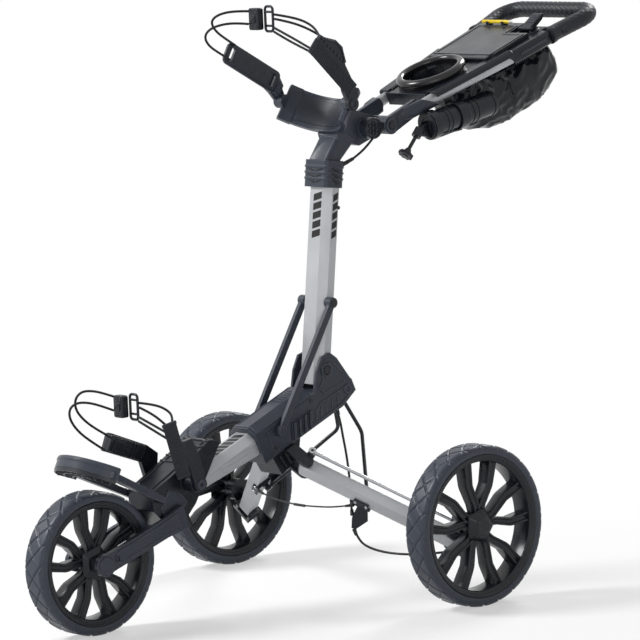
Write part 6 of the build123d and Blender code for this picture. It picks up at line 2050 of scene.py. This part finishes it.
@dataclass
class StorageBag(Assembly):
    """A slack nylon pouch under the console: lofted, blown out as cloth and creased."""

    top: float = -8.2
    stations: tuple[Triple, ...] = (
        (181, 36, 52), (196, 41, 84), (222, 44, 100), (254, 64, 106), (290, 74, 107), (330, 77, 108), (366, 77, 103),
        (392, 75, 94), (407, 71, 82), (414, 64, 62),
    )
    ring_points: int = 32
    side_power: float = 0.55
    rise_power: float = 0.62
    held_band: float = 9
    free_start: float = 6
    free_reach: float = 26
    voxel: float = 4.5
    pressure: float = 4
    growth: float = 0.06
    frames: int = 20
    reach: float = 8
    fold_depth: float = 4.2
    fold_length: float = 54
    fine_share: float = 0.25
    fold_level: float = 0.35

    def build(self) -> None:
        """Make the pouch, its binding and its zip."""
        mesh = self._remeshed(self._shell())
        self._blow(mesh)
        self._crease(mesh)
        bag = Form()
        bag.mesh.from_mesh(mesh)
        bpy.data.meshes.remove(mesh)
        item = self.shop.piece(bag, "storage_pouch", "handle", Finishes.NYLON, ("storage_bag",), 180)
        smooth = item.modifiers.new("smooth", "SUBSURF")
        smooth.levels = 1
        smooth.render_levels = 1
        self._binding()

    def _shell(self) -> Form:
        """Loft the pouch over round-bottomed sections along the handle.

        Returns:
            A closed shape.
        """
        rings = []
        for along, half, depth in self.stations:
            ring = []
            for index in range(self.ring_points):
                turn = math.tau * index / self.ring_points
                side = math.copysign(abs(math.cos(turn)) ** self.side_power, math.cos(turn))
                rise = math.copysign(abs(math.sin(turn)) ** self.rise_power, math.sin(turn))
                drop = depth * (1 - rise) / 2
                ring.append(self.plan.handle(along, self.top - drop, half * side))
            rings.append(ring)
        shape = Form()
        shape.loft(rings)
        return shape

    def _remeshed(self, shape: Form) -> bpy.types.Mesh:
        """Turn the shell into an even mesh of small cells.

        Args:
            shape: the shell. It is freed.

        Returns:
            A new mesh.
        """
        mesh = shape.into("pouch_form")
        form = bpy.data.objects.new("pouch_form", mesh)
        bpy.context.scene.collection.objects.link(form)
        step = form.modifiers.new("cells", "REMESH")
        step.mode = "VOXEL"
        step.voxel_size = self.voxel * MM
        even = bpy.data.meshes.new_from_object(form.evaluated_get(bpy.context.evaluated_depsgraph_get()))
        bpy.data.objects.remove(form)
        bpy.data.meshes.remove(mesh)
        return even

    def _below(self, point: Vector) -> float:
        """How far a point lies below the pouch's top, in millimetres."""
        return self.top - (point - self.plan.handle(0, 0)).dot(self.plan.handle_up()) / MM

    def _blow(self, mesh: bpy.types.Mesh) -> None:
        """Blow the pouch out as slack cloth held at its top, and keep each point near its place.

        Args:
            mesh: the even mesh. Its points move.
        """
        scene = bpy.context.scene
        cloth_item = bpy.data.objects.new("pouch_cloth", mesh)
        scene.collection.objects.link(cloth_item)
        held = cloth_item.vertex_groups.new(name="held")
        held.add([vert.index for vert in mesh.vertices if self._below(vert.co) < self.held_band], 1, "REPLACE")
        cloth = cloth_item.modifiers.new("cloth", "CLOTH")
        settings = {
            "quality": 5, "mass": 0.2, "use_pressure": True, "uniform_pressure_force": self.pressure,
            "shrink_min": -self.growth, "bending_stiffness": 0.3, "vertex_group_mass": "held",
        }
        for name, value in settings.items():
            setattr(cloth.settings, name, value)
        cloth.settings.effector_weights.gravity = 0
        cloth.point_cache.frame_start = 1
        cloth.point_cache.frame_end = self.frames
        for frame in range(1, self.frames + 1):
            scene.frame_set(frame)
        blown = cloth_item.evaluated_get(bpy.context.evaluated_depsgraph_get()).to_mesh()
        for vert, moved in zip(mesh.vertices, [point.co.copy() for point in blown.vertices]):
            step = moved - vert.co
            vert.co += step * min(1, self.reach * MM / max(step.length, 1e-9))
        scene.frame_set(1)
        bpy.data.objects.remove(cloth_item)

    def _crease(self, mesh: bpy.types.Mesh) -> None:
        """Fold the cloth along slanted creases that fade towards its held top.

        Args:
            mesh: the even mesh. Its points move.
        """
        mesh.update()
        normals = [vert.normal.copy() for vert in mesh.vertices]
        for vert, normal in zip(mesh.vertices, normals):
            place = vert.co / (self.fold_length * MM)
            slanted = Vector((place.x * 0.7 + place.z, place.y * 1.9 - place.z * 1.1, place.z * 0.6 + place.x))
            fold = 1 - 2 * abs(noise.noise(slanted))
            fine = noise.noise(slanted * 2.7)
            hold = min(1, max(0, (self._below(vert.co) - self.free_start) / self.free_reach))
            vert.co += normal * (fold**3 + fine * self.fine_share - self.fold_level) * self.fold_depth * hold * MM
        mesh.update()

    def _binding(self) -> None:
        """Bind the pouch's top edge and run a zip along its left side."""
        edge = [(along, half + 2) for along, half, _ in self.stations]
        around = edge + [(along, -half) for along, half in reversed(edge)]
        points = [self.plan.handle(along, self.top - 3, x) for along, x in around]
        binding = Form()
        binding.tube(points, 2.4, 10, True)
        self.shop.piece(binding, "pouch_binding", "handle", Finishes.WEBBING)
        teeth = Form()
        for first, second in zip(self.stations[3:-1], self.stations[4:]):
            for step in range(8):
                share = step / 8
                along = first[0] + (second[0] - first[0]) * share
                half = first[1] + (second[1] - first[1]) * share
                spot = self.plan.handle(along, self.top - 9, half + 2.6)
                teeth.bar(spot, spot - self.plan.handle_up() * 3.4 * MM, ACROSS, 2.2, 1.2)
        self.shop.piece(teeth, "pouch_zip_teeth", "handle", Finishes.FITTING)


@dataclass
class UmbrellaHolder(Assembly):
    """Bands and a rimmed mouth on the umbrella tube, and the knob's grips."""

    radius: float = 23
    bands: tuple[float, ...] = (30, 40, 96, 108, 150)
    knob_length: float = 54
    knob_radius: float = 13
    grip_count: int = 9

    def build(self) -> None:
        """Make the holder's bands, mouth and knob."""
        self._bands()
        self._knob()

    def _bands(self) -> None:
        """Ring the tube and frame its open mouth."""
        line = (self.plan.umbrella(1) - self.plan.umbrella(0)).normalized()
        shape = Form()
        for along in self.bands:
            shape.washer(self.plan.umbrella(along), line, self.radius - 1, self.radius + 1.1, 4.5, 48)
        shape.washer(self.plan.umbrella(-4.2), -line, 15, 24.6, 2, 48)
        for hand in (-1, 1):
            shape.rod(self.plan.umbrella(-4, -18, hand * 14), self.plan.umbrella(70, -26, hand * 6), 2.6, 2.6, 12)
        self.shop.piece(shape, "umbrella_tube_bands", "handle", Finishes.FITTING, (), 30)

    def _knob(self) -> None:
        """Scallop the knob's flange and dome its end."""
        dip = math.radians(self.plan.knob_dip)
        line = Vector((0, -math.cos(dip), -math.sin(dip)))
        origin = self.plan.pivot("handle_fold") + Vector((76, 47, -16)) * MM
        end = origin + line * self.knob_length * MM
        out = line.orthogonal().normalized()
        side = line.cross(out)
        shape = Form()
        for step in range(self.grip_count):
            turn = math.tau * step / self.grip_count
            spot = end + (out * math.cos(turn) + side * math.sin(turn)) * (self.knob_radius - 1.6) * MM
            shape.rod(spot - line * 6.4 * MM, spot + line * 0.4 * MM, 3.2, None, 14, 0.8)
        shape.rod(end - line * 0.5 * MM, end + line * 1.6 * MM, 8.5, 6, 28, 0.6)
        shape.rod(end - line * 16 * MM, end - line * 5.5 * MM, 4.6, 9, 28)
        self.shop.piece(shape, "umbrella_knob_grips", "knob", Finishes.FITTING)


@dataclass
class Studio:
    """Pale floor, soft light and a camera at the photograph's angle."""

    plan: Plan
    azimuth: float = 49.76
    elevation: float = 6.97
    distance: float = 7.69
    roll: float = -2.42
    lens: float = 237.78
    target: Triple = (64.47, -100, 508.92)
    floor_side: float = 40
    floor_grey: float = 0.9
    pale_reach: Pair = (0.55, 1.5)
    pale_share: Pair = (0.5, 1)
    surround: float = 0.2
    lamp_aim: Triple = (0, 0, 0.5)
    lamps: tuple[tuple[str, Triple, float, float], ...] = (
        ("key", (-2, -2.6, 3.2), 1.3, 165),
        ("fill", (3.4, -2.4, 1.2), 2, 22),
        ("rim", (-1, 3, 3), 1.2, 85),
    )

    def build(self) -> None:
        """Set the view, the lights, the floor and the camera."""
        bpy.context.scene.view_settings.view_transform = "Standard"
        self._world()
        self._floor()
        for name, place, size, power in self.lamps:
            self._lamp(name, place, size, power)
        self._camera()

    def _world(self) -> None:
        """A white surround that lights the object gently."""
        world = bpy.data.worlds.new("studio")
        world.use_nodes = True
        nodes = Nodes(world.node_tree)
        white = (1, 1, 1, 1)
        light = nodes.tree.nodes["Background"]
        nodes.fill(light, {"Color": white, "Strength": self.surround})
        seen = nodes.add("Background", {"Color": white, "Strength": 1})
        nodes.mixed("World Output", self._seen_share(nodes), light, seen)
        bpy.context.scene.world = world

    def _seen_share(self, nodes: Nodes) -> Socket:
        """One where a ray is seen directly, in a reflection or through glass.

        Args:
            nodes: the tree's nodes.

        Returns:
            The socket with the share.
        """
        path = nodes.add("LightPath", {})
        total = path.outputs["Is Camera Ray"]
        for name in ("Is Glossy Ray", "Is Transmission Ray"):
            total = nodes.math("MAXIMUM", total, path.outputs[name])
        return total

    def _floor(self) -> None:
        """A wide pale floor that keeps the shadow."""
        shape = Form()
        bmesh.ops.create_grid(shape.mesh, x_segments=1, y_segments=1, size=self.floor_side / 2)
        mesh = shape.into("floor")
        material = bpy.data.materials.new("pale_floor")
        material.use_nodes = True
        nodes = Nodes(material.node_tree)
        matt = nodes.tree.nodes["Principled BSDF"]
        grey = self.floor_grey
        nodes.fill(matt, {"Base Color": (grey, grey, grey, 1), "Roughness": 0.9})
        reach = nodes.add("VectorMath", {0: nodes.coords()}, operation="LENGTH").outputs["Value"]
        paler = nodes.range(reach, self.pale_reach, self.pale_share, interpolation_type="SMOOTHSTEP")
        share = nodes.math("MULTIPLY", self._seen_share(nodes), paler)
        nodes.mixed("Material Output", share, matt, nodes.add("Emission", {}))
        mesh.materials.append(material)
        floor = bpy.data.objects.new("floor", mesh)
        bpy.context.scene.collection.objects.link(floor)

    def _lamp(self, name: str, place: Triple, size: float, power: float) -> None:
        """Add a soft square lamp that looks at the cart.

        Args:
            name: the lamp's name.
            place: where it hangs, in metres.
            size: its side in metres.
            power: its power in watts.
        """
        lamp = bpy.data.lights.new(name, "AREA")
        lamp.size = size
        lamp.energy = power
        item = bpy.data.objects.new(name, lamp)
        item.location = place
        item.rotation_mode = "QUATERNION"
        item.rotation_quaternion = (Vector(self.lamp_aim) - Vector(place)).to_track_quat("-Z", "Y")
        bpy.context.scene.collection.objects.link(item)

    def _camera(self) -> None:
        """Aim a long lens from the photograph's place."""
        turn, rise, roll = (math.radians(value) for value in (self.azimuth, self.elevation, self.roll))
        back = Vector((math.sin(turn) * math.cos(rise), -math.cos(turn) * math.cos(rise), math.sin(rise)))
        right = Vector((math.cos(turn), math.sin(turn), 0))
        up = back.cross(right)
        rolled_right = right * math.cos(roll) + up * math.sin(roll)
        rolled_up = up * math.cos(roll) - right * math.sin(roll)
        lens = bpy.data.cameras.new("photo_camera")
        lens.lens = self.lens
        lens.sensor_width = 36
        lens.clip_end = 100
        camera = bpy.data.objects.new("photo_camera", lens)
        place = self.plan.place(*self.target) + back * self.distance
        columns = Matrix((rolled_right, rolled_up, back)).transposed().to_4x4()
        camera.matrix_world = Matrix.Translation(place) @ columns
        bpy.context.scene.collection.objects.link(camera)
        bpy.context.scene.camera = camera


def dress_frame(shop: Workshop) -> None:
    """Give each carried-over CAD node the finish of the real piece.

    Args:
        shop: the workshop that keeps the frame.
    """
    shop.dress(("front_tube", "mast_tube", "left_leg", "right_leg", "handle_rails"), Finishes.SILVER)
    shop.dress(
        (
            "front_fork", "lower_bag_rest", "casting_left", "casting_right", "housing_hood", "mast_collar", "neck",
            "strut_left", "strut_right", "handle_knuckles", "upper_yoke",
        ),
        Finishes.CHARCOAL,
    )
    shop.dress(
        (
            "front_bracket", "leg_bracket", "left_leg_clamp", "right_leg_clamp", "left_hub_carrier",
            "right_hub_carrier", "upper_arm_left", "upper_arm_right", "lower_arm_left", "lower_arm_right",
            "console_tray", "brake_lever", "umbrella_tube", "umbrella_bracket", "umbrella_knob", "left_link",
            "right_link",
        ),
        Finishes.BLACK,
    )
    shop.dress(("console_lid",), Finishes.CONSOLE)
    shop.dress(("frame_pins", "mast_pins"), Finishes.DARK_STEEL)
    shop.dress(("left_tie_rod", "right_tie_rod"), Finishes.STEEL)


def main() -> None:
    """Load the frame and build each sub-assembly in order."""
    logging.basicConfig(level=logging.INFO, format="%(name)s: %(message)s")
    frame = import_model()
    shop = Workshop(frame)
    plan = Plan.from_frame(frame)
    Studio(plan).build()
    Cords(shop, plan).build()
    dress_frame(shop)
    for group in (Wheels, FrontEnd, Chassis, MastSet, UpperCradle, Console, StorageBag, UmbrellaHolder):
        group(shop, plan).build()


if __name__ == "__main__":
    main()
